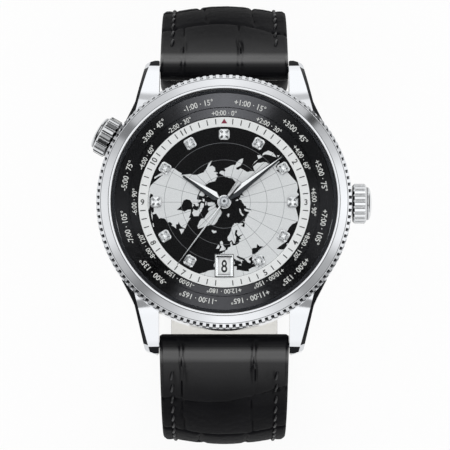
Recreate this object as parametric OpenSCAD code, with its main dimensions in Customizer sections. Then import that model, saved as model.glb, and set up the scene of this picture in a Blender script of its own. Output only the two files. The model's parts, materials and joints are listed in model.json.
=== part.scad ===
// World-time wristwatch: two crowns, turning zone ring, padded leather strap.
// Millimetres. Origin: centre of the case back's flat face. +Z out of the dial,
// +Y to 12 o'clock, +X to 3 o'clock. The strap hangs below as an open ring.

/* [Case] */
// Diameter of the case middle
case_d = 43; // [42:0.5:45]
// How far the case middle draws in from its widest edge to its foot
case_draw_in = 1.7; // [1.2:0.1:2.2]
// Wall of the case outside the zone ring's chamber
side_wall = 2.7; // [2.4:0.1:3]
// Wall between the zone ring's chamber and the outside of the case neck
neck_wall = 1; // [0.7:0.1:1.1]
// Width of the knurled edge of the bezel
knurl_w = 0.6; // [0.4:0.05:0.7]
// Height of the knurled edge
knurl_h = 1.5; // [1:0.1:1.6]
// Notches round the knurled edge
knurl_count = 120; // [96:12:132]
// Width of one notch
notch_w = 0.55; // [0.4:0.05:0.6]
// Width of the bezel's flat lip beside the crystal
lip_w = 0.35; // [0.2:0.05:0.5]
// How far the bezel's polished slope falls from lip to knurl
slope_drop = 0.35; // [0.2:0.05:0.5]
// Thickness of the crystal
crystal_t = 1.4; // [1:0.1:2]
// Chamfer of the crystal's top edge
crystal_chamfer = 0.35; // [0.2:0.05:0.5]

/* [Lugs and spring bars] */
// Space between the two lugs of a pair
lug_gap = 22; // [20:0.5:23]
// Width of a lug at its root
lug_root_w = 4.05; // [3.5:0.05:4.5]
// Width of a lug at its tip
lug_tip_w = 2.4; // [2:0.1:3]
// Length of the lug past the spring bar
lug_past_bar = 1.6; // [1.4:0.1:2]
// Width of the bevel along a lug's outer edge and tip
lug_bevel = 0.45; // [0.3:0.05:0.6]
// Height of the spring bars above the case back
bar_z = 1.1; // [0.8:0.1:1.6]
// Diameter of a spring bar
bar_d = 1.5; // [1.3:0.1:1.8]
// Diameter of a spring bar's end pin
bar_pin_d = 0.9; // [0.7:0.1:1]

/* [Crowns] */
// Diameter over the crown's flutes
crown_d = 6.7; // [6:0.1:7]
// Length of the fluted part
crown_len = 2.35; // [2:0.05:3]
// Flutes round a crown
crown_flutes = 20; // [16:2:24]
// Radius of one flute
flute_r = 0.32; // [0.2:0.02:0.4]
// Diameter of the crown's domed cap
cap_d = 5.55; // [5:0.05:5.8]
// Height of the domed cap
cap_h = 0.95; // [0.6:0.05:1.2]
// Diameter of both stems
stem_d = 1.2; // [1:0.1:1.4]
// Outer diameter of the tubes pressed into the case
tube_d = 2.8; // [2.4:0.1:3]
// How far the main crown pulls out
crown_pull = 1.5; // [1:0.1:1.8]
// Direction of the second crown, anticlockwise from 3 o'clock
ring_crown_angle = 150; // [140:5:160]

/* [Dial side] */
// Thickness of the dial
dial_t = 0.4; // [0.3:0.05:0.5]
// Width of the white minute ring
minute_ring_w = 1.6; // [1.4:0.1:1.8]
// Width of the turning zone ring
city_ring_w = 3.75; // [3.5:0.05:4]
// Width of the zone ring's inner band
city_band_w = 1.35; // [1:0.05:1.6]
// Rise of the zone ring from its inner to its outer edge
city_rise = 1.25; // [0.9:0.05:1.4]
// Teeth under the zone ring
city_teeth = 102; // [96:6:108]
// Teeth of the pinion that turns the zone ring
city_pinion_teeth = 6; // [6:1:7]
// Distance of the hour markers' middles from the edge of the dial
marker_inset = 1.35; // [1.35:0.05:2.8]
// Size of an hour marker across its flats
marker_w = 1.8; // [1.6:0.1:2.3]
// Height of an hour marker
marker_h = 0.55; // [0.3:0.05:0.6]
// Width of the date window
date_w = 2.1; // [1.8:0.1:2.3]
// Height of the date window
date_h = 2.8; // [2.4:0.1:3]
// Width of the date frame's border
date_border = 0.55; // [0.4:0.05:0.65]
// Rim of the calendar disc outside the date window
date_rim = 0.4; // [0.3:0.05:0.6]

/* [Hands] */
// Length of the hour hand
hour_len = 8.2; // [7:0.1:9]
// Greatest width of the hour hand
hour_w = 1.45; // [1.2:0.05:1.8]
// Length of the minute hand
minute_len = 12.5; // [11:0.1:13.5]
// Greatest width of the minute hand
minute_w = 1.5; // [1.2:0.05:1.8]
// Length of the second hand
second_len = 13.3; // [12:0.1:14]
// Length of the second hand's tail
second_tail = 4.2; // [3:0.1:5]
// Room above the dial for the three hands
hand_room = 1.85; // [1.8:0.05:2.2]

/* [Movement] */
// Diameter of the movement
movement_d = 25.6; // [25.2:0.1:26.2]
// Thickness of the window in the case back
back_glass_t = 0.85; // [0.7:0.05:1.2]
// Diameter of that window
back_glass_d = 25.8; // [24:0.2:27]
// Thickness of the winding rotor
rotor_t = 0.55; // [0.4:0.05:0.7]
// Thickness of the bridges
bridge_t = 0.75; // [0.7:0.05:1]
// Space between bridges and main plate for the wheels
train_gap = 1.5; // [1.5:0.05:1.8]
// Thickness of the main plate
plate_t = 1.4; // [1.4:0.05:2]
// Space between main plate and dial for the calendar
calendar_gap = 0.7; // [0.7:0.05:0.9]
// Thickness of the train wheels
wheel_t = 0.15; // [0.1:0.01:0.16]
// Radius of the balance wheel
balance_r = 4.4; // [4:0.1:4.5]
// Distance of the third wheel from the centre
third_r = 4.95; // [4.9:0.05:5.1]
// Distance of the escape wheel from the centre
escape_r = 4.8; // [4.75:0.05:5]
// Tip radius of the escape wheel
escape_tip_r = 2; // [1.8:0.05:2.1]

/* [Strap] */
// Length of the short strap half, from spring bar to buckle bar
strap_short = 76; // [72:1:84]
// Width of the strap at the buckle
strap_end_w = 20; // [18:0.5:20.5]
// Thickness of the strap's flat shoulders at the lugs
strap_t = 3.1; // [2.8:0.1:3.4]
// Thickness of the strap's flat shoulders at its free end
strap_tip_t = 2.3; // [2:0.1:2.6]
// Height of the padded crown over the shoulders
strap_crown = 0.9; // [0.6:0.1:1.2]
// Width of the flat stitched shoulder on each side
strap_shoulder = 2.3; // [1.8:0.1:2.8]
// Thickness of the lining leather
lining_t = 1; // [0.8:0.1:1.2]
// Radius of the leather loop round a spring bar
loop_r = 1.9; // [1.6:0.05:2]
// Space between the two ends of the open strap
strap_end_gap = 2.6; // [1.5:0.1:5]
// Adjustment holes in the long half
hole_count = 7; // [5:1:8]
// Distance between two adjustment holes
hole_pitch = 6.5; // [5:0.5:7]
// Diameter of an adjustment hole
hole_d = 2; // [1.8:0.1:2.4]
// Width of a strap keeper
keeper_w = 5; // [4:0.5:6]
// Thickness of the keepers' leather
keeper_t = 1.2; // [1:0.1:1.5]

/* [Buckle] */
// Thickness of the buckle's frame
frame_t = 2; // [1.6:0.1:2.2]
// Reach of the buckle's frame past its bar
frame_len = 14; // [12:0.5:15]
// Width of the frame's side arms
frame_side_w = 1.7; // [1.4:0.1:2]
// Width of the frame's far bar
frame_far_w = 2.2; // [2:0.1:2.6]
// Width of the tongue
tongue_w = 1.8; // [1.6:0.1:2]

/* [Hidden] */
$fn = 64;

// Clearances: running fits turn or slide, seat fits stay still
run = 0.03;
seat = 0.02;
// Gap between strap pieces and what they lie beside
soft_gap = 0.1;
// Overshoot of a cut past the face it opens
past = 0.2;

// Hand angles at rest, clockwise from 12 o'clock, as photographed
hour_angle = 302.3;
minute_angle = 52;
second_angle = 216.2;

// Levels along Z, from the case back up
flange_t = 0.85;
glass_z = 0.12;
rotor_z = glass_z + back_glass_t + 0.18;
bridge_z = rotor_z + rotor_t + 0.15;
train_z = bridge_z + bridge_t;
plate_z = train_z + train_gap;
plate_top = plate_z + plate_t;
dial_z = plate_top + calendar_gap;
dial_top = dial_z + dial_t;
stem_z = plate_z + plate_t / 2;
case_top = dial_top + 0.3;
case_edge_z = stem_z - 0.8;
case_foot_z = flange_t + 0.05;
crystal_z = dial_top + hand_room;
lip_z = crystal_z + 0.7;
ledge_t = 0.5;
knurl_top = lip_z - slope_drop;

// Radii, from the case in to the dial, then out through the bezel
case_r = case_d / 2;
chamber_r = case_r - side_wall;
city_out_r = chamber_r - 0.45;
city_in_r = city_out_r - city_ring_w;
minute_ring_r = city_in_r - 0.15;
dial_r = minute_ring_r - minute_ring_w;
marker_r = dial_r - marker_inset;
bore_r = city_out_r - 0.4;
neck_r = chamber_r + neck_wall;
ledge_in_r = city_out_r + 0.05;
crystal_r = ledge_in_r + 0.47;
gasket_r = crystal_r + seat + 0.15;
lip_in_r = gasket_r + seat;
knurl_r = case_r - 0.1;
knurl_in_r = knurl_r - knurl_w;
foot_r = case_r - case_draw_in;
flange_r = foot_r - 0.8;
back_neck_r = bore_r - seat;
gasket_in = flange_r - 0.75;
gasket_out = flange_r - 0.15;
back_glass_r = back_glass_d / 2;
movement_r = movement_d / 2;
date_disc_r = movement_r - 0.25;
date_r = date_disc_r - date_rim - date_h / 2;

// Lugs and spring bars
bar_y = case_r + 0.2 + loop_r;
lug_tip_y = bar_y + lug_past_bar;
lug_top_z = case_top - 0.3;
lug_tip_z = bar_z + 0.3;
lug_base_z = bar_z - 1.9;
lug_start_y = case_r - 8.1;
lug_arc_r = (pow(lug_tip_y - lug_start_y, 2) + pow(lug_top_z - lug_tip_z, 2))
    / (2 * (lug_top_z - lug_tip_z));
lug_taper_len = 7.9;
lug_shoulder_y = lug_tip_y - lug_taper_len;
lug_corner = 0.9;
lug_slant = atan2(lug_root_w - lug_tip_w, lug_tip_y - lug_corner - lug_shoulder_y);
pin_len = 1.1;

// Crowns
crown_base = case_r + 0.1;
crown_recess_r = tube_d / 2 + 0.5;
crown_recess = 1.9;
tube_out = crown_base + crown_recess - 0.2;
bore_stem_r = stem_d / 2 + run;
tube_in = chamber_r + 0.1;
pinion_x = movement_r - 4.2;
pinion_len = 1.7;
square_w = 0.62;

// Zone ring drive: the pinion's axis is the second stem's
city_pitch_r = city_out_r - 1.35;
city_m = 2 * city_pitch_r / city_teeth;
city_pinion_r = city_pinion_teeth * city_m / 2;
city_face = 0.9;
city_base = dial_top - 0.45;
city_tip_z = stem_z + city_pinion_r - 0.1;

// Train: tooth counts and modules
barrel_teeth = 60;
center_pinion_teeth = 10;
center_teeth = 64;
third_pinion_teeth = 8;
third_teeth = 60;
fourth_pinion_teeth = 8;
fourth_teeth = 70;
escape_pinion_teeth = 7;
escape_teeth = 15;
tip_part = 0.85;
barrel_m = (movement_r - 0.15)
    / ((barrel_teeth + center_pinion_teeth) / 2 + barrel_teeth / 2 + tip_part);
barrel_dist = barrel_m * (barrel_teeth + center_pinion_teeth) / 2;
center_m = 2 * third_r / (center_teeth + third_pinion_teeth);
third_m = 2 * third_r / (third_teeth + fourth_pinion_teeth);
escape_m = 2 * escape_r / (fourth_teeth + escape_pinion_teeth);
barrel_angle = 50;
third_angle = barrel_angle + 130;
escape_angle = barrel_angle - 100;
balance_angle = barrel_angle - 135;
function polar(r, a) = [r * cos(a), r * sin(a)];
barrel_at = polar(barrel_dist, barrel_angle);
third_at = polar(third_r, third_angle);
escape_at = polar(escape_r, escape_angle);
balance_at = polar(movement_r - balance_r - 0.12, balance_angle);
lever_dir = atan2(balance_at.y - escape_at.y, balance_at.x - escape_at.x);
lever_len = norm(balance_at - escape_at);
pallet_to_escape = escape_tip_r + 0.5;
pallet_at = escape_at + polar(pallet_to_escape, lever_dir);
pallet_to_balance = lever_len - pallet_to_escape;
arbor_r = 0.18;
pivot_r = 0.1;
jewel_r = 0.5;
barrel_arbor_r = 0.6;
ratchet_m = 0.2;
ratchet_teeth = 44;
ratchet_r = ratchet_m * (ratchet_teeth / 2 + tip_part);

// Train levels
fourth_z = train_z + 0.08;
drum_z = train_z + 0.35;
drum_top = plate_z - 0.45;
third_z = drum_z;
center_z = plate_z - 0.2 - wheel_t;
escape_z = center_z - 0.1 - wheel_t;
pallet_bridge_z = escape_z - 0.3;
balance_z = drum_z + 0.02;
tooth_band = 0.3;

// Motion work: 12 turns of the minute hand to one of the hour hand
cannon_teeth = 12;
minute_wheel_teeth = 36;
minute_pinion_teeth = 10;
hour_wheel_teeth = 40;
motion_dist = 3.12;
motion_m = 2 * motion_dist / (cannon_teeth + minute_wheel_teeth);
hour_m = 2 * motion_dist / (minute_pinion_teeth + hour_wheel_teeth);
motion_angle = -40;
motion_at = polar(motion_dist, motion_angle);
minute_wheel_z = plate_top + 0.08;
hour_wheel_z = minute_wheel_z + wheel_t + 0.12;
date_z = dial_z - 0.35;
date_t = 0.2;
second_arbor_r = 0.17;
center_tube_r = 0.4;
cannon_r = 0.6;
hour_tube_r = 0.86;
hour_hand_z = dial_top + 0.35;
minute_hand_z = hour_hand_z + 0.42;
second_hand_z = minute_hand_z + 0.42;
hand_t = 0.18;

// Screwed feet of the bridges, in polar places on the movement
foot_d = 1.7;
screw_d = 1.2;
barrel_feet = [for (a = [62, -62]) polar(movement_r - 1.25, barrel_angle + a)];
train_feet = [for (a = [95, 172, -92]) polar(movement_r - 1.25, barrel_angle + a)];
cock_foot = polar(movement_r - 1.25, barrel_angle - 166);
pallet_feet = [for (s = [-1, 1]) pallet_at + polar(1.9, lever_dir + 90 * s)];

// Strap ring round a wrist: each half leaves its bar at an angle below level,
// then follows three bends; on the long half a flat stretch follows
strap_w = lug_gap - 2 * soft_gap;
strap_fall = 33;
bend_turn = [57, 20, 70];
short_on_last_bend = 13.4;
bend_r_1 = 27.8;
bend_r_3 = 20;
bend_r_2 = (strap_short - bend_r_1 * bend_turn[0] * PI / 180 - short_on_last_bend)
    / (bend_turn[1] * PI / 180);
bend_r = [bend_r_1, bend_r_2, bend_r_3];
bend_len = [for (i = [0:2]) bend_r[i] * bend_turn[i] * PI / 180];
bend_from = [0, bend_len[0], bend_len[0] + bend_len[1]];
bends_len = bend_from[2] + bend_len[2];

// Share of bend i that lies before distance s along the strap
function bend_part(i, s) = max(0, min(1, (s - bend_from[i]) / bend_len[i]));
// Angle below level at the start of bend i, and at distance s
function bend_start(i) = i == 0 ? strap_fall : bend_start(i - 1) + bend_turn[i - 1];
function fall(s) = strap_fall + bend_part(0, s) * bend_turn[0]
    + bend_part(1, s) * bend_turn[1] + bend_part(2, s) * bend_turn[2];
// Step of bend i in [out, up] up to distance s
function bend_step(i, s) =
    let (a = bend_start(i), b = a + bend_part(i, s) * bend_turn[i])
    bend_r[i] * [sin(b) - sin(a), cos(b) - cos(a)];
// Place of the strap's middle line at distance s, as [out, up]
function spot(s) = [bar_y, bar_z] + bend_step(0, s) + bend_step(1, s) + bend_step(2, s)
    + max(0, s - bends_len) * [cos(fall(s)), -sin(fall(s))];
function outward(s) = [sin(fall(s)), cos(fall(s))];

// Buckle: its bar ends the short half, and its frame carries on round the wrist
buckle_at = spot(strap_short);
frame_fall = 165.5;
frame_inner = strap_end_w + 0.6;
frame_end_y = buckle_at.x + (frame_len + frame_far_w / 2) * cos(frame_fall);
strap_long = bends_len + spot(bends_len).x + frame_end_y - strap_end_gap;
tip_len = 11;
tip_to_hole = 22;
crown_from = 0.5;
crown_full = 6;
crown_fades = 25;
crown_flat = 70;
loop_end_r = 1.6;
slot_len = 4.6;
slot_w = tongue_w + 0.8;
tongue_t = 0.8;
tongue_low = frame_t / 2 - tongue_t;
keeper_from_end = 7.5;
keepers_apart = 10;
keeper_fixed_s = strap_short - keeper_from_end;
keeper_free_s = keeper_fixed_s - keepers_apart;
keeper_travel = 5;
keeper_fixed_gap = 0.3;
keeper_free_gap = 0.4;

// Shape of a strap half at distance s: half width, shoulder thickness, crown
function blend_in(s, a, b) = let (u = max(0, min(1, (s - a) / (b - a)))) u * u * (3 - 2 * u);
function half_w(s) = (strap_w + (strap_end_w - strap_w) * min(1, s / strap_short)) / 2;
function thick(s) = strap_t + (strap_tip_t - strap_t) * min(1, s / strap_short);
function crown_at(s) = strap_crown * blend_in(s, crown_from, crown_full)
    * (1 - 0.85 * blend_in(s, crown_fades, crown_flat));
function tip_w(s, end) = s <= end - tip_len ? half_w(s)
    : half_w(s) * sqrt(max(0.04, 1 - pow((s - end + tip_len) / tip_len, 2)));

// Stations along a strap half, closer together where it bends or narrows
function stations(from, end) = concat(
    [for (i = [0:34]) from + (end - from - tip_len) * i / 34],
    [for (i = [1:6]) end - tip_len + tip_len * sin(15 * i)]);
function short_stations(from, end) = [for (i = [0:30]) from + (end - from) * i / 30];

// Cross section of the outer leather at s: base on the lining, flat shoulders,
// crowned middle. Points are [across, out]
crown_steps = [-1, -0.8, -0.5, 0, 0.5, 0.8, 1];
function upper_section(s, w) =
    let (t = thick(s), low = -t / 2 + lining_t + seat, top = t / 2, c = crown_at(s),
         m = max(0.3, w - strap_shoulder))
    concat([[-w, low], [-w, top]],
        [for (k = crown_steps) [m * k, top + c * cos(90 * k)]],
        [[w, top], [w, low]]);
function lining_section(s, w) =
    let (t = thick(s), low = -t / 2)
    [[-w, low], [-w, low + lining_t], [w, low + lining_t], [w, low]];
// Puts a section across the strap at s; side is 1 for the 12 o'clock half, -1 for 6
function place(section, s, side) = let (p = spot(s), n = outward(s))
    [for (q = section) [q.x * side, side * (p.x + n.x * q.y), p.y + n.y * q.y]];

// Solid through a list of rings with the same number of points
module loft(rings) {
    k = len(rings[0]);
    m = len(rings);
    sides = [for (i = [0:m - 2]) for (j = [0:k - 1]) each [
        [i * k + j, (i + 1) * k + (j + 1) % k, i * k + (j + 1) % k],
        [i * k + j, (i + 1) * k + j, (i + 1) * k + (j + 1) % k]]];
    ends = [for (j = [1:k - 2]) each [
        [0, j, j + 1],
        [(m - 1) * k, (m - 1) * k + j + 1, (m - 1) * k + j]]];
    polyhedron(points = [for (ring = rings) each ring], faces = concat(sides, ends));
}

// Flat ring between two radii
module ring(r_out, r_in, h) {
    linear_extrude(h) difference() {
        circle(r_out);
        circle(r_in);
    }
}

// Gear outline with straight-sided teeth, one tooth centred on +X
module gear_2d(teeth, m, slack = 0.15) {
    r_tip = m * (teeth / 2 + tip_part);
    r_root = m * (teeth / 2 - 1);
    a = 90 / teeth * (1 - slack);
    polygon([for (i = [0:teeth - 1]) let (c = 360 * i / teeth) each [
        polar(r_root, c - 1.35 * a), polar(r_tip, c - 0.5 * a),
        polar(r_tip, c + 0.5 * a), polar(r_root, c + 1.35 * a)]]);
}

// Train wheel with round crossings, bored for its arbor
module wheel(teeth, m, t, bore, phase = 0) {
    r = m * teeth / 2;
    linear_extrude(t) difference() {
        rotate(phase) gear_2d(teeth, m);
        circle(bore);
        for (i = [0:4]) rotate(phase + 72 * i) translate([r * 0.56, 0]) circle(r * 0.24);
    }
}

// Bar from point a to point b, a little narrower than its two round ends
module bar_2d(a, b, r_a, r_b) {
    d = b - a;
    n = [-d.y, d.x] / norm(d) * 0.95;
    translate(a) circle(r_a);
    translate(b) circle(r_b);
    polygon([a + n * r_a, b + n * r_b, b - n * r_b, a - n * r_a]);
}

// Case middle: turned body, lugs, chamber for the zone ring, bore for the movement
module lug_plan() {
    g = lug_gap / 2;
    polygon([[g, lug_start_y - 3], [g, lug_tip_y - 0.3], [g + 0.4, lug_tip_y],
        [g + lug_tip_w - 0.3, lug_tip_y - 0.6], [g + lug_tip_w, lug_tip_y - lug_corner],
        [g + lug_root_w, lug_shoulder_y], [g + lug_root_w + 0.5, lug_shoulder_y - 1.1],
        [g + lug_root_w + 2.2, lug_shoulder_y - 4.4], [g + 3, lug_start_y - 3]]);
}

module lug_profile() {
    intersection() {
        translate([lug_start_y, lug_top_z - lug_arc_r]) circle(lug_arc_r, $fn = 128);
        polygon([[lug_start_y - 3, lug_top_z], [lug_tip_y - 3 * lug_bevel, lug_top_z],
            [lug_tip_y, lug_tip_z - lug_bevel], [lug_tip_y, lug_base_z + 0.5],
            [lug_tip_y - 0.4, lug_base_z], [lug_tip_y - 1.2, lug_base_z],
            [lug_start_y + 4, case_foot_z], [lug_start_y - 3, case_foot_z]]);
    }
}

// Cone that cuts the bevel along the lug's outer edge, square to that edge
module lug_bevel_cone() {
    reach = 9;
    translate([lug_gap / 2 + lug_root_w, lug_shoulder_y, lug_top_z - lug_arc_r])
        rotate([0, 0, lug_slant]) translate([-lug_bevel - reach, lug_start_y - lug_shoulder_y, 0])
        rotate([0, 90, 0]) cylinder(r1 = lug_arc_r + reach, r2 = lug_arc_r - reach,
            h = 2 * reach, $fn = 128);
}

module lug() {
    intersection() {
        translate([0, 0, lug_base_z - 1]) linear_extrude(case_top + 3) lug_plan();
        rotate([90, 0, 90]) linear_extrude(lug_gap + lug_root_w) lug_profile();
        lug_bevel_cone();
    }
}

module case_middle() {
    color("silver") difference() {
        union() {
            rotate_extrude($fn = 180) polygon([[bore_r - 1, case_foot_z], [foot_r, case_foot_z],
                [foot_r + 1, case_foot_z + 0.9], [case_r - 0.15, case_edge_z - 0.5],
                [case_r, case_edge_z], [case_r, case_top], [neck_r, case_top],
                [neck_r, case_top + 1], [bore_r - 1, case_top + 1]]);
            for (m = [[0, 0], [1, 0], [0, 1], [1, 1]])
                mirror([m[0], 0, 0]) mirror([0, m[1], 0]) lug();
        }
        translate([0, 0, -5]) cylinder(r = bore_r, h = case_top + 10);
        translate([0, 0, city_base - 0.35]) cylinder(r = chamber_r, h = case_top);
        translate([0, 0, -5]) cylinder(r = flange_r - 1.2, h = 5 + case_foot_z + 0.001);
        gasket_groove();
        for (s = [-1, 1]) translate([0, s * bar_y, bar_z]) rotate([0, 90, 0])
            cylinder(d = bar_pin_d + 2 * seat, h = lug_gap + 2 * pin_len, center = true);
        for (a = [0, ring_crown_angle]) rotate([0, 0, a]) tube_hole();
    }
}

// Stepped hole in the case wall: a seat for the tube, then a way for the stem
module tube_hole() {
    translate([tube_in, 0, stem_z]) rotate([0, 90, 0])
        cylinder(d = tube_d + 2 * seat, h = case_r - tube_in + 3);
    translate([bore_r - 1, 0, stem_z]) rotate([0, 90, 0])
        cylinder(d = stem_d + 0.4, h = tube_in - bore_r + 2);
}

module gasket_groove() {
    translate([0, 0, case_foot_z - past])
        ring(gasket_out + 0.05, gasket_in - 0.05, past + 0.3);
}

module case_back_gasket() {
    color("#1a1a1a") translate([0, 0, flange_t + 0.01]) ring(gasket_out, gasket_in, 0.3);
}

// Bezel: polished lip and slope over a knurled edge, with a ledge under the crystal
module bezel() {
    color("silver") difference() {
        rotate_extrude($fn = 180) polygon([[neck_r + seat, case_top], [knurl_r + 0.1, case_top],
            [knurl_r + 0.1, knurl_top - knurl_h], [knurl_r, knurl_top - knurl_h],
            [knurl_r, knurl_top - 0.08], [knurl_in_r + 0.05, knurl_top],
            [knurl_in_r, knurl_top], [lip_in_r + lip_w, lip_z - 0.12],
            [lip_in_r + lip_w, lip_z], [lip_in_r, lip_z], [lip_in_r, crystal_z],
            [ledge_in_r, crystal_z], [ledge_in_r, crystal_z - ledge_t],
            [chamber_r - 0.1, case_top + 1 + seat], [neck_r + seat, case_top + 1 + seat]]);
        for (i = [0:knurl_count - 1]) rotate([0, 0, 360 * (i + 0.5) / knurl_count])
            translate([knurl_in_r + 0.1, -notch_w / 2, knurl_top - knurl_h])
            cube([knurl_w + 1, notch_w, knurl_h + 1]);
    }
}

module crystal() {
    color("lightcyan", 0.3) translate([0, 0, crystal_z + 0.01]) rotate_extrude($fn = 180)
        polygon([[0, 0], [crystal_r, 0], [crystal_r, crystal_t - crystal_chamfer],
            [crystal_r - crystal_chamfer, crystal_t], [0, crystal_t]]);
}

module crystal_gasket() {
    color("#161616") translate([0, 0, crystal_z + 0.01])
        ring(gasket_r, crystal_r + seat, lip_z - crystal_z - 0.06, $fn = 128);
}

// Dial: thin plate under the white minute ring, with the date window and centre hole
module dial() {
    color("#202020") translate([0, 0, dial_z]) linear_extrude(dial_t) difference() {
        circle(minute_ring_r - 0.1, $fn = 128);
        circle(hour_tube_r + 0.1);
        translate([0, -date_r]) square([date_w, date_h], center = true);
    }
}

module minute_track_ring() {
    color("white") translate([0, 0, dial_top]) rotate_extrude($fn = 128)
        polygon([[dial_r, 0], [minute_ring_r, 0], [minute_ring_r, 0.28], [dial_r, 0.12]]);
}

module marker() {
    w = marker_w / 2;
    c = w * 0.42;
    girdle = [[w, c], [c, w], [-c, w], [-w, c], [-w, -c], [-c, -w], [c, -w], [w, -c]];
    loft([for (q = [[0, 0.86], [marker_h * 0.5, 1], [marker_h * 0.62, 1], [marker_h, 0.56]])
        [for (p = girdle) [p.x * q[1], p.y * q[1], q[0]]]]);
}

module hour_markers() {
    color("gainsboro") for (i = [0:11])
        if (i != 6) rotate([0, 0, -30 * i]) translate([0, marker_r, dial_top]) marker();
}

module date_frame() {
    w = date_w / 2;
    h = date_h / 2;
    b = date_border;
    color("silver") translate([0, -date_r, dial_top]) difference() {
        loft([for (q = [[0, b], [0.2, b], [0.34, b * 0.7]]) [[w + q[1], h + q[1], q[0]],
            [-w - q[1], h + q[1], q[0]], [-w - q[1], -h - q[1], q[0]], [w + q[1], -h - q[1], q[0]]]]);
        loft([for (q = [[-0.1, 0], [0.05, 0], [0.5, 0.45]]) [[w + q[1], h + q[1], q[0]],
            [-w - q[1], h + q[1], q[0]], [-w - q[1], -h - q[1], q[0]], [w + q[1], -h - q[1], q[0]]]]);
    }
}

// Zone ring: flat inner band, sloped outer band, face teeth underneath
module city_ring() {
    groove_r = city_in_r + city_band_w;
    low = dial_top + 0.32;
    band = low + city_rise * city_band_w / city_ring_w;
    color("#151515") {
        rotate_extrude($fn = 128) polygon([[city_in_r, city_base], [city_out_r, city_base],
            [city_out_r, low + city_rise], [groove_r + 0.12, band + 0.04],
            [groove_r + 0.06, band - 0.06], [groove_r, band], [city_in_r, low]]);
        translate([0, 0, city_tip_z]) linear_extrude(city_base - city_tip_z + 0.01)
            city_teeth_2d();
    }
}

module city_teeth_2d() {
    r_in = city_pitch_r - city_face / 2;
    r_out = city_pitch_r + city_face / 2;
    a = 90 / city_teeth * 0.72;
    for (i = [0:city_teeth - 1]) let (c = ring_crown_angle + 360 * i / city_teeth)
        polygon([polar(r_in, c - a), polar(r_out, c - a), polar(r_out, c + a), polar(r_in, c + a)]);
}

// Ring crown's stem: shaft through its tube and the pinion under the zone ring
module ring_crown_stem() {
    x_in = city_pitch_r - city_face / 2 - 0.3;
    color("silver") rotate([0, 0, ring_crown_angle]) {
        translate([x_in, 0, stem_z]) rotate([0, 90, 0])
            cylinder(d = stem_d - 0.2, h = crown_base + crown_recess + 0.3 - x_in);
        translate([city_pitch_r - city_face / 2, 0, stem_z]) rotate([0, 90, 0]) rotate([0, 0, 30])
            linear_extrude(city_face) gear_2d(city_pinion_teeth, city_m, 0.35);
    }
}

// Crown: fluted body with chamfered ends, domed cap, recess for the case tube
module crown_shape(recess_depth) {
    r = crown_d / 2;
    cap = cap_d / 2;
    difference() {
        union() {
            intersection() {
                linear_extrude(crown_len) difference() {
                    circle(r);
                    for (i = [0:crown_flutes - 1]) rotate(360 * i / crown_flutes)
                        translate([r + flute_r * 0.35, 0]) circle(flute_r, $fn = 24);
                }
                rotate_extrude() polygon([[0, 0], [r - 0.35, 0], [r, 0.3],
                    [r, crown_len - 0.3], [r - 0.35, crown_len], [0, crown_len]]);
            }
            translate([0, 0, crown_len - 0.01]) rotate_extrude() polygon(concat([[0, 0], [cap, 0],
                [cap, cap_h * 0.35]], [for (i = [1:6]) [cap * cos(15 * i),
                cap_h * (0.35 + 0.65 * sin(15 * i))]]));
        }
        translate([0, 0, -past]) cylinder(r = crown_recess_r, h = recess_depth + past);
        translate([0, 0, -past]) cylinder(d = stem_d + 2 * seat, h = crown_len + past);
    }
}

module crown() {
    color("silver") translate([crown_base, 0, stem_z]) rotate([0, 90, 0])
        crown_shape(crown_recess);
}

module ring_crown() {
    color("silver") rotate([0, 0, ring_crown_angle]) translate([crown_base, 0, stem_z])
        rotate([0, 90, 0]) crown_shape(crown_recess);
}

module tube_shape() {
    translate([tube_in + 0.05, 0, stem_z]) rotate([0, 90, 0]) difference() {
        cylinder(d = tube_d, h = tube_out - tube_in - 0.05);
        translate([0, 0, -past]) cylinder(r = bore_stem_r, h = case_r);
    }
}

module crown_tube() {
    color("silver") tube_shape();
}

module ring_crown_tube() {
    color("silver") rotate([0, 0, ring_crown_angle]) tube_shape();
}

// Winding stem: round through the tube and plate, square inside the sliding pinion
module winding_stem() {
    x_round = pinion_x + pinion_len + 0.35;
    x_square = pinion_x + pinion_len - crown_pull - 0.5;
    color("silver") {
        translate([x_round, 0, stem_z]) rotate([0, 90, 0])
            cylinder(d = stem_d, h = crown_base + crown_len - 0.1 - x_round);
        translate([x_square, -square_w / 2, stem_z - square_w / 2])
            cube([x_round - x_square + 0.01, square_w, square_w]);
    }
}

module sliding_pinion() {
    w = square_w + 2 * run;
    color("silver") translate([pinion_x, 0, stem_z]) rotate([0, 90, 0]) difference() {
        union() {
            for (z = [0, pinion_len - 0.5]) translate([0, 0, z])
                linear_extrude(0.5) gear_2d(12, 0.14);
            cylinder(r = 0.6, h = pinion_len);
        }
        translate([-w / 2, -w / 2, -past]) cube([w, w, pinion_len + 2 * past]);
    }
}

// Case back: screwed ring with a window and six key slots
module case_back() {
    color("silver") difference() {
        union() {
            cylinder(r = flange_r, h = flange_t, $fn = 128);
            cylinder(r = back_neck_r, h = rotor_z + 0.75, $fn = 128);
        }
        translate([0, 0, -past]) cylinder(r = back_glass_r - 0.5, h = 5, $fn = 128);
        translate([0, 0, glass_z]) cylinder(r = back_glass_r + seat, h = 5, $fn = 128);
        translate([0, 0, glass_z + back_glass_t]) cylinder(r = back_neck_r - 1.3, h = 5, $fn = 128);
        for (i = [0:5]) rotate([0, 0, 60 * i]) translate([flange_r - 2.2, -0.8, -past])
            cube([1.3, 1.6, past + 0.4]);
    }
}

module case_back_glass() {
    color("lightcyan", 0.3) translate([0, 0, glass_z + 0.01])
        cylinder(r = back_glass_r, h = back_glass_t - 0.02, $fn = 128);
}

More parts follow.
